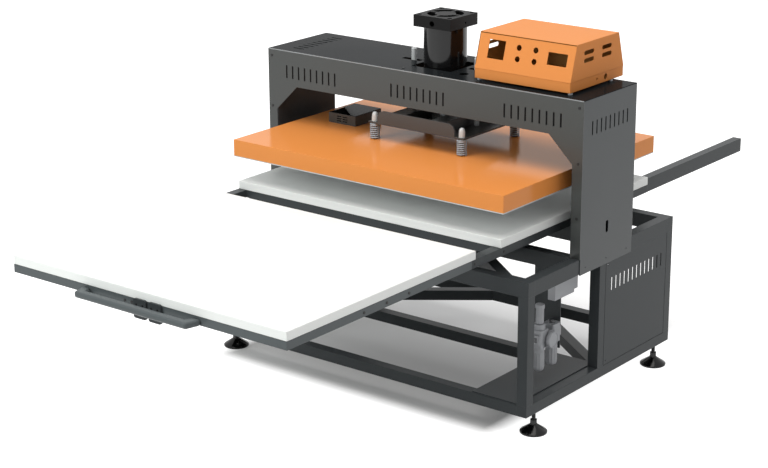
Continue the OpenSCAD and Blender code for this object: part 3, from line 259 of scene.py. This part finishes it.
# %% Lamps
def softbox(name, place, aim, size, watts, colour):
    """A large square lamp, turned towards a point."""
    lamp = bpy.data.lights.new(name, "AREA")
    lamp.shape, lamp.size, lamp.energy, lamp.color = "SQUARE", size, watts, colour
    thing = bpy.data.objects.new(name, lamp)
    bpy.context.collection.objects.link(thing)
    thing.location = place
    thing.rotation_euler = (Vector(aim) - Vector(place)).to_track_quat("-Z", "Y").to_euler()
    print(name, watts, "W")


softbox("top_light", place=(0.4, -1.2, 5.0), aim=(0, -0.2, 0.7), size=3.8, watts=118,
        colour=(1.0, 0.965, 0.94))
softbox("front_light", place=(-1.8, -5.2, 3.1), aim=(0, -0.3, 0.7), size=2.6, watts=96,
        colour=(0.94, 1.0, 0.97))

# %% [markdown]
# ## Finishes
#
# Every finish starts from the same three marks of a real surface: a colour that drifts a little, a
# gloss that drifts a little, and a fine relief. A picture could carry them, but noise on the places of
# the object itself needs no unwrapping. A rounded-edge normal lies under the relief, because no folded
# sheet or drawn tube has a razor edge. How much a coat mirrors is set on the shader itself.


# %% Finish helper
finishes = {}
broad_scale, broad_gloss, fine_gloss = 3.5, 0.12, 0.06
relief_height, coat_roughness = 0.0006, 0.08


def finish(name, colour, rough, metal=0.0, drift=0.05, relief=0.1, grain=900.0, stretch=(1, 1, 1),
           edge=0.0012, coat=0.0, shine=0.5):
    """A material with drifting colour and gloss, fine relief and softened edges."""
    made = bpy.data.materials.new(name)
    made.use_nodes = True
    shader = made.node_tree.nodes["Principled BSDF"]
    surface = Signal(made.node_tree)
    places = surface.node("TexCoord", out="Object")
    broad = places.noise(broad_scale, detail=3)
    fine = places.noise(grain, stretch=stretch)
    light, dark = [tuple(c * (1 + k * drift) for c in colour[:3]) + (1,) for k in (1, -1)]
    shade = broad.between(dark, light)
    gloss = (broad - 0.5) * broad_gloss + (fine - 0.5) * fine_gloss + rough
    soft = surface.node("Bevel", {"samples": 4}, Radius=edge)
    bump = surface.node("Bump", Strength=relief, Distance=relief_height, Height=fine, Normal=soft)
    for signal, socket in ((shade, "Base Color"), (gloss, "Roughness"), (bump, "Normal")):
        made.node_tree.links.new(signal.socket, shader.inputs[socket])
    shader.inputs["Metallic"].default_value = metal
    shader.inputs["Coat Weight"].default_value = coat
    shader.inputs["Coat Roughness"].default_value = coat_roughness
    shader.inputs["Specular IOR Level"].default_value = shine
    finishes[name] = made


print("finish helper ready")

# %% [markdown]
# The frame is coated in a smooth dark grey half gloss, with a little more gloss on the gantry sheets. The
# sliding frame gets a lighter copy of that grey, painted light against the shade under the table, and the
# sides and top of the gantry get darker copies, painted shade. The heater cover has a glossy orange coat
# and the control box the same orange, satin. The cylinder is black, with a polished barrel. One dark paint
# could serve all the steel, but then the machine would look cast in one piece.

# %% Painted finishes
finish("frame_paint", tone("#3c4042"), 0.32, relief=0.04, grain=1400, edge=0.002, coat=0.02, shine=0.11)
# Painted light: a lighter copy of the frame grey for the sliding frame, against the shade under the table.
finish("painted_light_shuttle", tone("#545a5c"), 0.32, relief=0.04, grain=1400, edge=0.002, coat=0.08, shine=0.15)
finish("sheet_paint", tone("#3f4241"), 0.30, relief=0.03, grain=1400, coat=0.14, shine=0.35)
# Painted shade: a darker copy of the sheet grey for the sides of the gantry.
finish("painted_shade_side", tone("#323739"), 0.34, relief=0.04, grain=1400, coat=0.03, shine=0.35)
# Painted shade: a much darker, matt copy for the top of the gantry.
finish("painted_shade_top", tone("#1b1e20"), 0.22, relief=0.02, grain=1400, shine=0.01)
finish("orange_gloss", tone("#e8934c"), 0.15, drift=0.02, relief=0.02, grain=700, edge=0.002,
       coat=0.02, shine=0.09)
finish("orange_satin", tone("#e18f4c"), 0.46, drift=0.02, grain=1500, edge=0.002, shine=0.10)
finish("cylinder_black", tone("#101011"), 0.12, relief=0.03, grain=1200, edge=0.0015, coat=0.10, shine=0.34)
finish("head_black", tone("#0b0b0c"), 0.45, relief=0.08, grain=1200, edge=0.0015, shine=0.14)
finish("plate_paint", tone("#4b4a49"), 0.30, metal=0.05, relief=0.06, grain=1200, edge=0.0015, shine=0.3)
finish("lid_paint", tone("#25282a"), 0.24, relief=0.03, grain=1200, edge=0.001, shine=0.02)
finish("inside_dark", tone("#d8ac6c"), 0.8, edge=0.001, shine=0.1)
# Painted shade for the gaps round the front of the control box.
finish("painted_gap_shade", tone("#5d3d1c"), 0.8, drift=0.02, relief=0.05, edge=0.0005, shine=0.1)
# Near black: the real black of screw heads and seams, and painted shade on the tubes inside the gantry and
# the studs inside the springs.
finish("black_and_painted_shade", tone("#121314"), 0.7, relief=0.02, grain=1200, edge=0.0005, shine=0.1)
# Painted highlight for the fold along the front of the gantry top.
finish("painted_fold_highlight", tone("#94999c"), 0.40, relief=0.02, grain=1200, edge=0.0005)
print("painted", sorted(finishes))

# %% [markdown]
# The piston rod is ground steel, with fine lines along its length, and the guide rods and caps are light
# and plain. The air unit is blasted cast metal. The tables are white boards with a very fine mottle, the
# feet are glossy black and the screws blackened. Full metal would mirror the white room and turn white,
# so the pieces that show are only part metal.

# %% Bare and plain finishes
finish("bright_steel", tone("#c6c8cc"), 0.42, metal=0.35, relief=0.12, stretch=(1, 1, 0.05), edge=0.0006)
finish("spring_steel", tone("#a9b3bb"), 0.42, metal=0.15, relief=0.08, edge=0.0002)
finish("cap_grey", tone("#cbcecf"), 0.45, metal=0.10, relief=0.08, edge=0.0005)
finish("aluminium", tone("#d9dadb"), 0.40, metal=0.5, relief=0.15, grain=700, stretch=(0.04, 1, 1),
       edge=0.001)
finish("cast_grey", tone("#9b9da1"), 0.50, metal=0.10, relief=0.30, grain=1600, edge=0.0015)
finish("sight_dark", tone("#3c3e42"), 0.25, relief=0.05, edge=0.0005, coat=0.3)
finish("screw_dark", tone("#1c1c1d"), 0.5, metal=0.2, relief=0.15, grain=1500, edge=0.0004)
finish("table_white", tone("#f3f5f3"), 0.50, drift=0.012, relief=0.06, grain=420, edge=0.0015)
finish("foot_black", tone("#080809"), 0.16, relief=0.04, edge=0.0008, coat=0.12, shine=0.25)
finish("plug_black", tone("#1b1b1c"), 0.5, relief=0.2, grain=1500, edge=0.001)
finish("bronze", tone("#b08a4a"), 0.36, metal=0.9, relief=0.15, edge=0.0006)
finish("wool", tone("#d9d4c2"), 0.95, drift=0.12, relief=0.9, grain=260, edge=0.002)
finish("heater_tube", tone("#6d6a66"), 0.5, metal=0.7, relief=0.3, grain=800, edge=0.0006)
print("all finishes", len(finishes))

# %% [markdown]
# Each solid names the slot of its material, and most slots have one finish. Where the photograph shows
# pieces of one slot in different shades, a second table names the finish of that piece: the darker sides
# and top of the gantry are painted shade, and the lighter sliding frame is painted light. The tubes
# inside the gantry are almost black, painted shade so that its louvres look open, and the studs inside
# the springs are painted dark as shade too.

# %% Give every node its finish
finish_of_slot = {
    "frame_paint": "frame_paint", "black_rubber": "foot_black", "black_steel": "cylinder_black",
    "plug_plastic": "plug_black", "bright_steel": "bright_steel", "slide_plastic": "plug_black",
    "bronze": "bronze", "plate_paint": "plate_paint", "aluminium": "aluminium",
    "orange_gloss": "orange_gloss", "orange_satin": "orange_satin", "element_steel": "heater_tube",
    "wool": "wool", "table_white": "table_white", "air_unit_grey": "cast_grey",
}
finish_of_node = {n: finish_of_slot[slot_of_node[n]] for n in nodes}
finish_of_node.update({
    # Painted light and shade: a lighter grey on the sliding frame, darker greys on the gantry's sides and
    # top, and near black as shade on the tubes inside the gantry and on the spring studs.
    "gantry_front": "sheet_paint", "gantry_back": "sheet_paint", "gantry_sides": "painted_shade_side",
    "gantry_top": "painted_shade_top", "portal_frame": "black_and_painted_shade", "gantry_screws": "screw_dark",
    "front_frame": "painted_light_shuttle", "frame_brackets": "painted_light_shuttle", "pull_handle": "painted_light_shuttle",
    "shuttle_screws": "screw_dark", "guide_rods": "cap_grey", "stud_caps": "cap_grey",
    "spring_studs": "black_and_painted_shade", "junction_box": "sheet_paint", "junction_lid": "lid_paint",
    "cylinder_head": "head_black", "control_feet": "bright_steel",
})
for name, thing in nodes.items():
    thing.data.materials.clear()
    thing.data.materials.append(finishes[finish_of_node[name]])
print("dressed", len(nodes), "nodes")

# %% [markdown]
# ## Pieces of the scene
#
# Every piece that is added takes the same last steps: a mesh from its bmesh, a finish, the body that it
# moves with, and the solids that it stands for. They could be written out each time, but one helper
# forgets none of them.


# %% Finished piece
def piece(name, bm, body, paint, replaced=()):
    """A finished piece: its mesh, finish, body and the solids that it stands for."""
    mesh = bpy.data.meshes.new(name)
    bm.to_mesh(mesh)
    bm.free()
    mesh.materials.append(finishes[paint])
    thing = bpy.data.objects.new(name, mesh)
    bpy.context.collection.objects.link(thing)
    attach(thing, body)
    if replaced:
        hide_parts(*replaced)
    return thing


print("piece helper ready")

# %% [markdown]
# ## Softened edges
#
# A folded sheet cover, a board and a bent handle have round edges that catch the light. The rounded
# normal of the finish fakes them well for tubes, but not where the edge itself shows. So the solid is
# copied, its loose triangles are joined into whole faces, and a bevel runs round its outer edges. The
# normals are weighted by area, so that only the bevel looks round and the wide faces stay flat. The copy
# then stands for the solid.


# %% Soften the edges of a solid
def softened(node, width, segments=3, sharp=50, smooth_below=35):
    """A copy of a node with its outer edges rounded."""
    bm = bmesh.new()
    bm.from_mesh(nodes[node].data)
    bmesh.ops.remove_doubles(bm, verts=bm.verts, dist=1e-6)
    bmesh.ops.dissolve_limit(bm, angle_limit=math.radians(1), verts=bm.verts, edges=bm.edges)
    edges = [e for e in bm.edges if len(e.link_faces) == 2 and e.is_convex
             and e.calc_face_angle() > math.radians(sharp)]
    bmesh.ops.bevel(bm, geom=edges, offset=width, offset_type="OFFSET", segments=segments, profile=0.5,
                    affect="EDGES", clamp_overlap=True, material=-1)
    for face in bm.faces:
        face.smooth = True
    thing = piece(node + "_soft", bm, body_of_node[node], finish_of_node[node], (node,))
    thing.data.set_sharp_from_angle(angle=math.radians(smooth_below))
    even = thing.modifiers.new("flat_faces_stay_flat", "WEIGHTED_NORMAL")
    even.mode, even.weight, even.keep_sharp = "FACE_AREA", 100, True
    print(thing.name, len(thing.data.polygons), "faces")


for node, width in (("table_front", 0.002), ("table_rear", 0.002), ("heater_cover", 0.0009),
                    ("control_hood", 0.0008), ("pull_handle", 0.008), ("front_plates", 0.0015),
                    ("cylinder_head", 0.002), ("press_plate", 0.0028), ("gantry_top", 0.0011)):
    softened(node, width)

# %% [markdown]
# The control box is empty: through its windows one sees the unlit inner side of its sheet, a dark olive
# brown. Hardly any light gets in, so the finish for it is a light tan, and a darker one would turn black.
# It goes on the faces that look at the middle of the box. Small faces, the rims of the holes, keep the
# orange. A second mesh inside the first could do the same, but could show at an edge.

# %% Inside of the control box
hood_low, hood_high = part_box("control_hood")
hood_middle = (hood_low + hood_high) / 2
rim_area = 0.001
for name in ("control_hood_soft", "control_tray"):
    mesh = (bpy.data.objects.get(name) or nodes[name]).data
    mesh.materials.append(finishes["inside_dark"])
    inner = [f for f in mesh.polygons if f.normal.dot(f.center - hood_middle) < 0 and f.area > rim_area]
    for face in inner:
        face.material_index = 1
    print(name, len(inner), "inner faces")

# %% [markdown]
# ## Turned pieces
#
# Rods, bowls, caps and feet are round. They could be stacked from cylinders and cones, but one profile
# of radius and height, spun about the upright axis, has no seams. It is then moved to each of its
# places. Ribs press a wave into the part of the profile that carries them.


# %% Lathe
def turned(name, node, profile, places, steps=48, waves=(), paint=None, closed=False, tilt=None,
           smooth_below=38):
    """Turned copies of one profile: waves are (count, depth, from, to) along the height."""
    bm = bmesh.new()
    for place in places:
        known = set(bm.verts)
        line = [bm.verts.new((r, 0, z)) for r, z in profile]
        pairs = list(zip(line, line[1:])) + ([(line[-1], line[0])] if closed else [])
        edges = [bm.edges.new(pair) for pair in pairs]
        bmesh.ops.spin(bm, geom=line + edges, cent=(0, 0, 0), axis=(0, 0, 1), angle=2 * math.pi,
                       steps=steps, use_merge=True)
        made = [v for v in bm.verts if v not in known]
        for count, depth, low, high in waves:
            for v in made:
                if low <= v.co.z <= high:
                    turn = math.atan2(v.co.y, v.co.x)
                    v.co.xy *= 1 - depth * (0.5 + 0.5 * math.cos(count * turn))
        matrix = Matrix.Translation(place) @ (tilt or Matrix.Identity(4))
        bmesh.ops.transform(bm, verts=made, matrix=matrix)
    bmesh.ops.remove_doubles(bm, verts=bm.verts, dist=1e-6)
    bmesh.ops.dissolve_degenerate(bm, edges=bm.edges, dist=1e-7)
    bmesh.ops.recalc_face_normals(bm, faces=bm.faces)
    for face in bm.faces:
        face.smooth = True
    replaced = (node,) if paint is None else ()
    thing = piece(name, bm, body_of_node[node], paint or finish_of_node[node], replaced)
    thing.data.set_sharp_from_angle(angle=math.radians(smooth_below))
    print(name, len(thing.data.polygons), "faces")


def corners(node, radius, height=0.0):
    """The four axes of a node whose round solids stand in a rectangle."""
    low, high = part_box(node)
    return [(x, y, height) for x in (low.x + radius, high.x - radius)
            for y in (low.y + radius, high.y - radius)]


def axis_of(node):
    """The upright axis through the middle of a node, as a place on the floor."""
    low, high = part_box(node)
    return ((low.x + high.x) / 2, (low.y + high.y) / 2, 0)


print("lathe ready")

# %% [markdown]
# The feet: a wide glossy pad that slopes up to its neck, and a stem with a thread. A real thread winds,
# but at this size it can't be told from fine grooves, which the profile gives for nothing.

# %% Feet
pad_r, pad_h, neck_r = 0.048, 0.032, 0.013
pad = [(0, 0), (0.046, 0), (pad_r, 0.002), (pad_r, 0.0065), (0.0455, 0.0095), (0.030, 0.0195),
       (0.0165, 0.0285), (neck_r, 0.0305), (neck_r, pad_h), (0, pad_h)]
turned("turned_pads", "foot_pads", pad, corners("foot_pads", pad_r), steps=64)
stem_r, groove_r, thread_low, thread_high = 0.007, 0.0063, 0.048, 0.078
thread_steps, thread_step = 28, 0.001
stem_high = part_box("foot_stems")[1].z
grooves = [(stem_r if k % 2 else groove_r, thread_low + thread_step * (k + 1)) for k in range(thread_steps)]
stem = [(0, pad_h), (stem_r, pad_h), (stem_r, thread_low), *grooves,
        (stem_r, thread_high), (stem_r, stem_high), (0, stem_high)]
turned("turned_stems", "foot_stems", stem, corners("foot_stems", stem_r), steps=20)

# %% [markdown]
# The guide rods have small bevels at their ends, the nuts on the spring studs wear caps shaped like
# bullets, and the barrel of the cylinder is a tube. A bevelled cylinder would do for the rods, but not
# for the caps, so all three come from the lathe.

# %% Rods, caps and barrel
rod_r = 0.010
low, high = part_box("guide_rods")
rod = [(0, low.z), (0.009, low.z), (rod_r, low.z + 0.001), (rod_r, high.z - 0.0015), (0.0085, high.z),
       (0, high.z)]
rod_y = axis_of("guide_rods")[1]
turned("turned_guide_rods", "guide_rods", rod, [(x, rod_y, 0) for x in (low.x + rod_r, high.x - rod_r)])
cap_r, cap_h = 0.0115, 0.035
bullet = [(0, 0), (cap_r, 0), (cap_r, 0.008), (0.0113, 0.016), (0.0107, 0.022), (0.0096, 0.0268),
          (0.0078, 0.0308), (0.0054, 0.0335), (0.0028, 0.0347), (0, cap_h)]
turned("turned_caps", "stud_caps", bullet, corners("stud_caps", cap_r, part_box("stud_caps")[0].z), steps=32)
bore_r, barrel_r = 0.070, 0.079
low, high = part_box("cylinder_barrel")
tube = [(bore_r, low.z), (barrel_r, low.z), (barrel_r, high.z), (bore_r, high.z)]
turned("turned_barrel", "cylinder_barrel", tube, [axis_of("cylinder_barrel")], steps=96, closed=True)

# %% [markdown]
# The air unit hangs in the right front bay. Its two bowls have twelve flutes and rounded bottoms. The
# flutes could be cut one by one, but a wave of twelve pressed into the spun wall leaves it in one skin.

# %% Bowls
filter_r, lubricator_r = 0.0195, 0.0215
for node, r in (("filter_bowl", filter_r), ("lubricator_bowl", lubricator_r)):
    bottom, top = [corner.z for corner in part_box(node)]
    bowl = [(0, bottom), (0.006, bottom), (0.012, bottom + 0.0012), (r - 0.0035, bottom + 0.0045),
            (r - 0.001, bottom + 0.010), (r, bottom + 0.017), (r, top - 0.020), (r, top - 0.019),
            (r - 0.001, top - 0.017), (r - 0.001, top - 0.003), (r, top - 0.002), (r, top), (0, top)]
    flutes = (12, 0.08, bottom + 0.009, top - 0.0195)
    turned("turned_" + node, node, bowl, [axis_of(node)], steps=96, waves=(flutes,))

# %% [markdown]
# The knob of the regulator is turned by hand, so it has eight wide ribs and a collar with fine ones
# above them: two waves on one profile. The gauge has a thick rim round a sunk dial and faces to the
# right. It could be spun about its own axis, but tilting it after the same upright spin is simpler.

# %% Knob and gauge
bottom, top = [corner.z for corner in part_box("regulator_knob")]
grip, collar = top - 0.071, top - 0.015
knob = [(0, bottom), (0.006, bottom), (0.006, grip), (0.0135, grip + 0.0005), (0.0145, grip + 0.0015),
        (0.0145, grip + 0.006), (0.0145, collar - 0.003), (0.0160, collar), (0.0168, collar + 0.001),
        (0.0168, top - 0.004), (0.0155, top - 0.001), (0.013, top), (0, top)]
wide_ribs = (8, 0.09, grip + 0.005, collar - 0.002)
fine_ribs = (24, 0.04, collar + 0.0005, top - 0.0035)
turned("turned_knob", "regulator_knob", knob, [axis_of("regulator_knob")], steps=96,
       waves=(wide_ribs, fine_ribs))
low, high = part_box("pressure_gauge")
dial = [(0, 0), (0.006, 0), (0.006, 0.008), (0.027, 0.008), (0.0292, 0.010), (0.030, 0.014), (0.030, 0.021),
        (0.0285, 0.0235), (0.0265, 0.024), (0.0250, 0.0225), (0.0245, 0.0215), (0, 0.0215)]
turned("turned_gauge", "pressure_gauge", dial, [(low.x, (low.y + high.y) / 2, (low.z + high.z) / 2)],
       steps=64, tilt=Matrix.Rotation(math.pi / 2, 4, "Y"))

# %% [markdown]
# Two dark spots finish the air unit: the domed sight glass on the lubricator and the window in the front
# of the filter. The window could be cut, but behind it there is nothing to see, so a thin dark pane lies
# on the casting.


# %% Sight glass and window
def slabs(name, boxes, node, paint):
    """Plain small boxes, each from one corner to the other, as one piece."""
    bm = bmesh.new()
    for low, high in boxes:
        size = Vector(high) - Vector(low)
        matrix = Matrix.Translation((Vector(high) + Vector(low)) / 2) @ Matrix.Diagonal((*size, 1))
        bmesh.ops.create_cube(bm, size=1, matrix=matrix)
    piece(name, bm, body_of_node[node], paint)
    print(name, len(boxes), "boxes")


dome = [(0, 0), (0.0115, 0), (0.0115, 0.004), (0.010, 0.0085), (0.006, 0.0112), (0, 0.012)]
axis_x, axis_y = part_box("lubricator_bowl")[0].xy + Vector((lubricator_r, lubricator_r))
sight_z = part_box("lubricator_body")[1].z - 0.009
turned("sight_glass", "lubricator_body", dome, [(axis_x, axis_y, sight_z)], steps=32, paint="sight_dark")
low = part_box("filter_body")[0]
pane_x, pane_half, pane_t = axis_of("filter_bowl")[0], 0.009, 0.0006
pane_low, pane_high = low.z + 0.024, low.z + 0.042
pane = ((pane_x - pane_half, low.y - pane_t, pane_low), (pane_x + pane_half, low.y, pane_high))
slabs("filter_window", [pane], "filter_body", "sight_dark")

# %% [markdown]
# ## Trims
#
# Below the orange cover the edge of the hot plate shines as a thin bright line all round. It is thinner
# than a bevel could show, so four narrow strips make it. The tubes of the sliding frame end in small
# plates that close them.

# %% Plate rim and tube ends
low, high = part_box("heater_cover")
rim_t, rim_h = 0.0022, 0.0034
z0, z1 = low.z - rim_h, low.z
y0, y1 = low.y + rim_t, high.y - rim_t
rim = [((low.x, low.y, z0), (high.x, y0, z1)), ((low.x, y1, z0), (high.x, high.y, z1)),
       ((low.x, y0, z0), (low.x + rim_t, y1, z1)), ((high.x - rim_t, y0, z0), (high.x, y1, z1))]
slabs("plate_rim", rim, "heater_cover", "cap_grey")
tube_w, wall, sunk = 0.036, 0.002, 0.0002
ends = []
for node, into in (("front_frame", 1), ("rear_frame", -1)):
    low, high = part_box(node)
    open_end = low.y if into > 0 else high.y
    y0, y1 = sorted((open_end + into * sunk, open_end + into * wall))
    for x0, x1 in ((low.x, low.x + tube_w), (high.x - tube_w, high.x)):
        ends.append(((x0 + wall, y0, low.z + wall), (x1 - wall, y1, high.z - wall)))
# Painted light: the tube ends take the lighter copy of the frame grey.
slabs("tube_ends", ends, "front_frame", "painted_light_shuttle")

# %% [markdown]
# The lid of the control box overhangs the leaning front, so a gap in shade runs under it, and a second
# one runs down the left edge. At this size a cut would vanish between two pixels, so each gap is painted
# shade: a thin dark strip that lies on the front and leans with it.

# %% Gaps of the control box
setback, proud, strip_t = 0.036, 0.0004, 0.0006
lean = setback / (hood_high.z - hood_low.z)


def on_front(x, z):
    """A place on the leaning front of the hood, a hair in front of it."""
    return (x, hood_low.y + (z - hood_low.z) * lean - proud, z)


gap_left, gap_right = hood_low.x + 0.001, hood_high.x - 0.001
gap_low, gap_high = hood_high.z - 0.0038, hood_high.z - 0.0012
edge_left, edge_right = hood_low.x + 0.0008, hood_low.x + 0.0026
edge_low, edge_high = hood_low.z + 0.012, hood_high.z - 0.003
under_lid = (gap_left, gap_right, gap_low, gap_high)
left_edge = (edge_left, edge_right, edge_low, edge_high)
bm = bmesh.new()
for x0, x1, z0, z1 in (under_lid, left_edge):
    face = bm.faces.new([bm.verts.new(on_front(x, z)) for x, z in ((x0, z0), (x1, z0), (x1, z1), (x0, z1))])
    grown = bmesh.ops.extrude_face_region(bm, geom=[face])["geom"]
    back = [v for v in grown if isinstance(v, bmesh.types.BMVert)]
    bmesh.ops.translate(bm, verts=back, vec=(0, strip_t, 0))
bmesh.ops.recalc_face_normals(bm, faces=bm.faces)
# Painted shade: the strips stand for the shade in the gaps.
lid_gap_shade = piece("lid_gap_shade", bm, "base", "painted_gap_shade")
print("lid gap", len(lid_gap_shade.data.polygons), "faces")

# %% [markdown]
# Each side cover of the base sits in its bay with a dark seam on three sides. Along the front of the
# gantry top the fold catches the light as a pale line, and that line is a painted highlight on a pale
# strip. They could be lines in the finish, but as strips they stay in the mesh too. The strips stand 0.3
# to 0.4 mm proud of the sheet, so that no two faces share a plane.

# %% Seams and fold
low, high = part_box("side_covers")
seam_w, seam_out = 0.0012, 0.0003
seams = []
for side in (-1, 1):
    x0, x1 = sorted((side * high.x, side * (high.x + seam_out)))
    seams += [((x0, low.y - seam_w, low.z), (x1, low.y, high.z)),
              ((x0, high.y, low.z), (x1, high.y + seam_w, high.z)),
              ((x0, low.y, low.z - seam_w), (x1, high.y, low.z))]
slabs("cover_seams", seams, "side_covers", "black_and_painted_shade")
low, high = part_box("gantry_top")
fold_h, fold_half, fold_up = 0.003, 0.0004, 0.0003
fold_highlight = ((low.x, low.y - fold_half, high.z - fold_h), (high.x, low.y + fold_half, high.z + fold_up))
# Painted highlight: a pale strip along the fold.
slabs("top_fold_highlight", [fold_highlight], "gantry_top", "painted_fold_highlight")

# %% [markdown]
# The two plates on the front bar are held by two screws each. A screw could be turned like the feet, but
# only its flat dark head shows, so a short cylinder that faces the operator does.

# %% Screws of the front plates
front_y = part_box("front_plates")[0].y
screw_r, screw_h, screw_z = 0.0036, 0.001, 0.6443
screw_places = (-0.0205, 0.0065, 0.0435, 0.0705)
bm = bmesh.new()
for x in screw_places:
    matrix = Matrix.Translation((x, front_y, screw_z)) @ Matrix.Rotation(math.pi / 2, 4, "X")
    bmesh.ops.create_cone(bm, cap_ends=True, segments=16, radius1=screw_r, radius2=screw_r, depth=screw_h,
                          matrix=matrix)
piece("plate_screws", bm, body_of_node["front_plates"], "black_and_painted_shade")
print("plate screws at y", round(front_y, 4))

# %% [markdown]
# ## Springs
#
# Four wound springs hold the heater down from the press plate. A curve with a round section could make
# them, but a ring of wire that is spun round the spring's axis while it climbs gives a closed mesh at
# once. The first and last turns climb only by the wire's own thickness, as on a real spring with closed
# ends.

# %% Wound springs
low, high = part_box("press_springs")
spring_low, spring_high = low.z, high.z
spring_off_x, spring_off_y = 0.195, 0.165
middle_y = axis_of("press_springs")[1]
wire, coil, turns = 0.0024, 0.0165, 8
sides, steps = 12, 32


def wound(bm, x, y):
    """One spring as a closed tube round the axis at x, y."""
    ring = bmesh.ops.create_circle(bm, segments=sides, radius=wire, cap_ends=True)["verts"]
    stand = Matrix.Translation((x + coil, y, spring_low + wire)) @ Matrix.Rotation(math.pi / 2, 4, "X")
    bmesh.ops.transform(bm, verts=ring, matrix=stand)
    whole = spring_high - spring_low - 2 * wire
    closed = 2 * wire
    end = [f for f in bm.faces if all(v in ring for v in f.verts)]
    for count, climb in ((1, closed), (turns - 2, whole - 2 * closed), (1, closed)):
        total = count * steps
        made = bmesh.ops.spin(bm, geom=end, cent=(x, y, 0), axis=(0, 0, 1), angle=2 * math.pi * count,
                              dvec=(0, 0, climb / total), steps=total, use_duplicate=False)
        end = [g for g in made["geom_last"] if isinstance(g, bmesh.types.BMFace)]


bm = bmesh.new()
for x in (spring_off_x, -spring_off_x):
    for y in (middle_y - spring_off_y, middle_y + spring_off_y):
        wound(bm, x, y)
bmesh.ops.recalc_face_normals(bm, faces=bm.faces)
for face in bm.faces:
    face.smooth = True
springs = piece("wound_springs", bm, "press", "spring_steel", ("press_springs",))
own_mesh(springs)
print("springs", len(springs.data.polygons), "faces, height", round(spring_high - spring_low, 4))
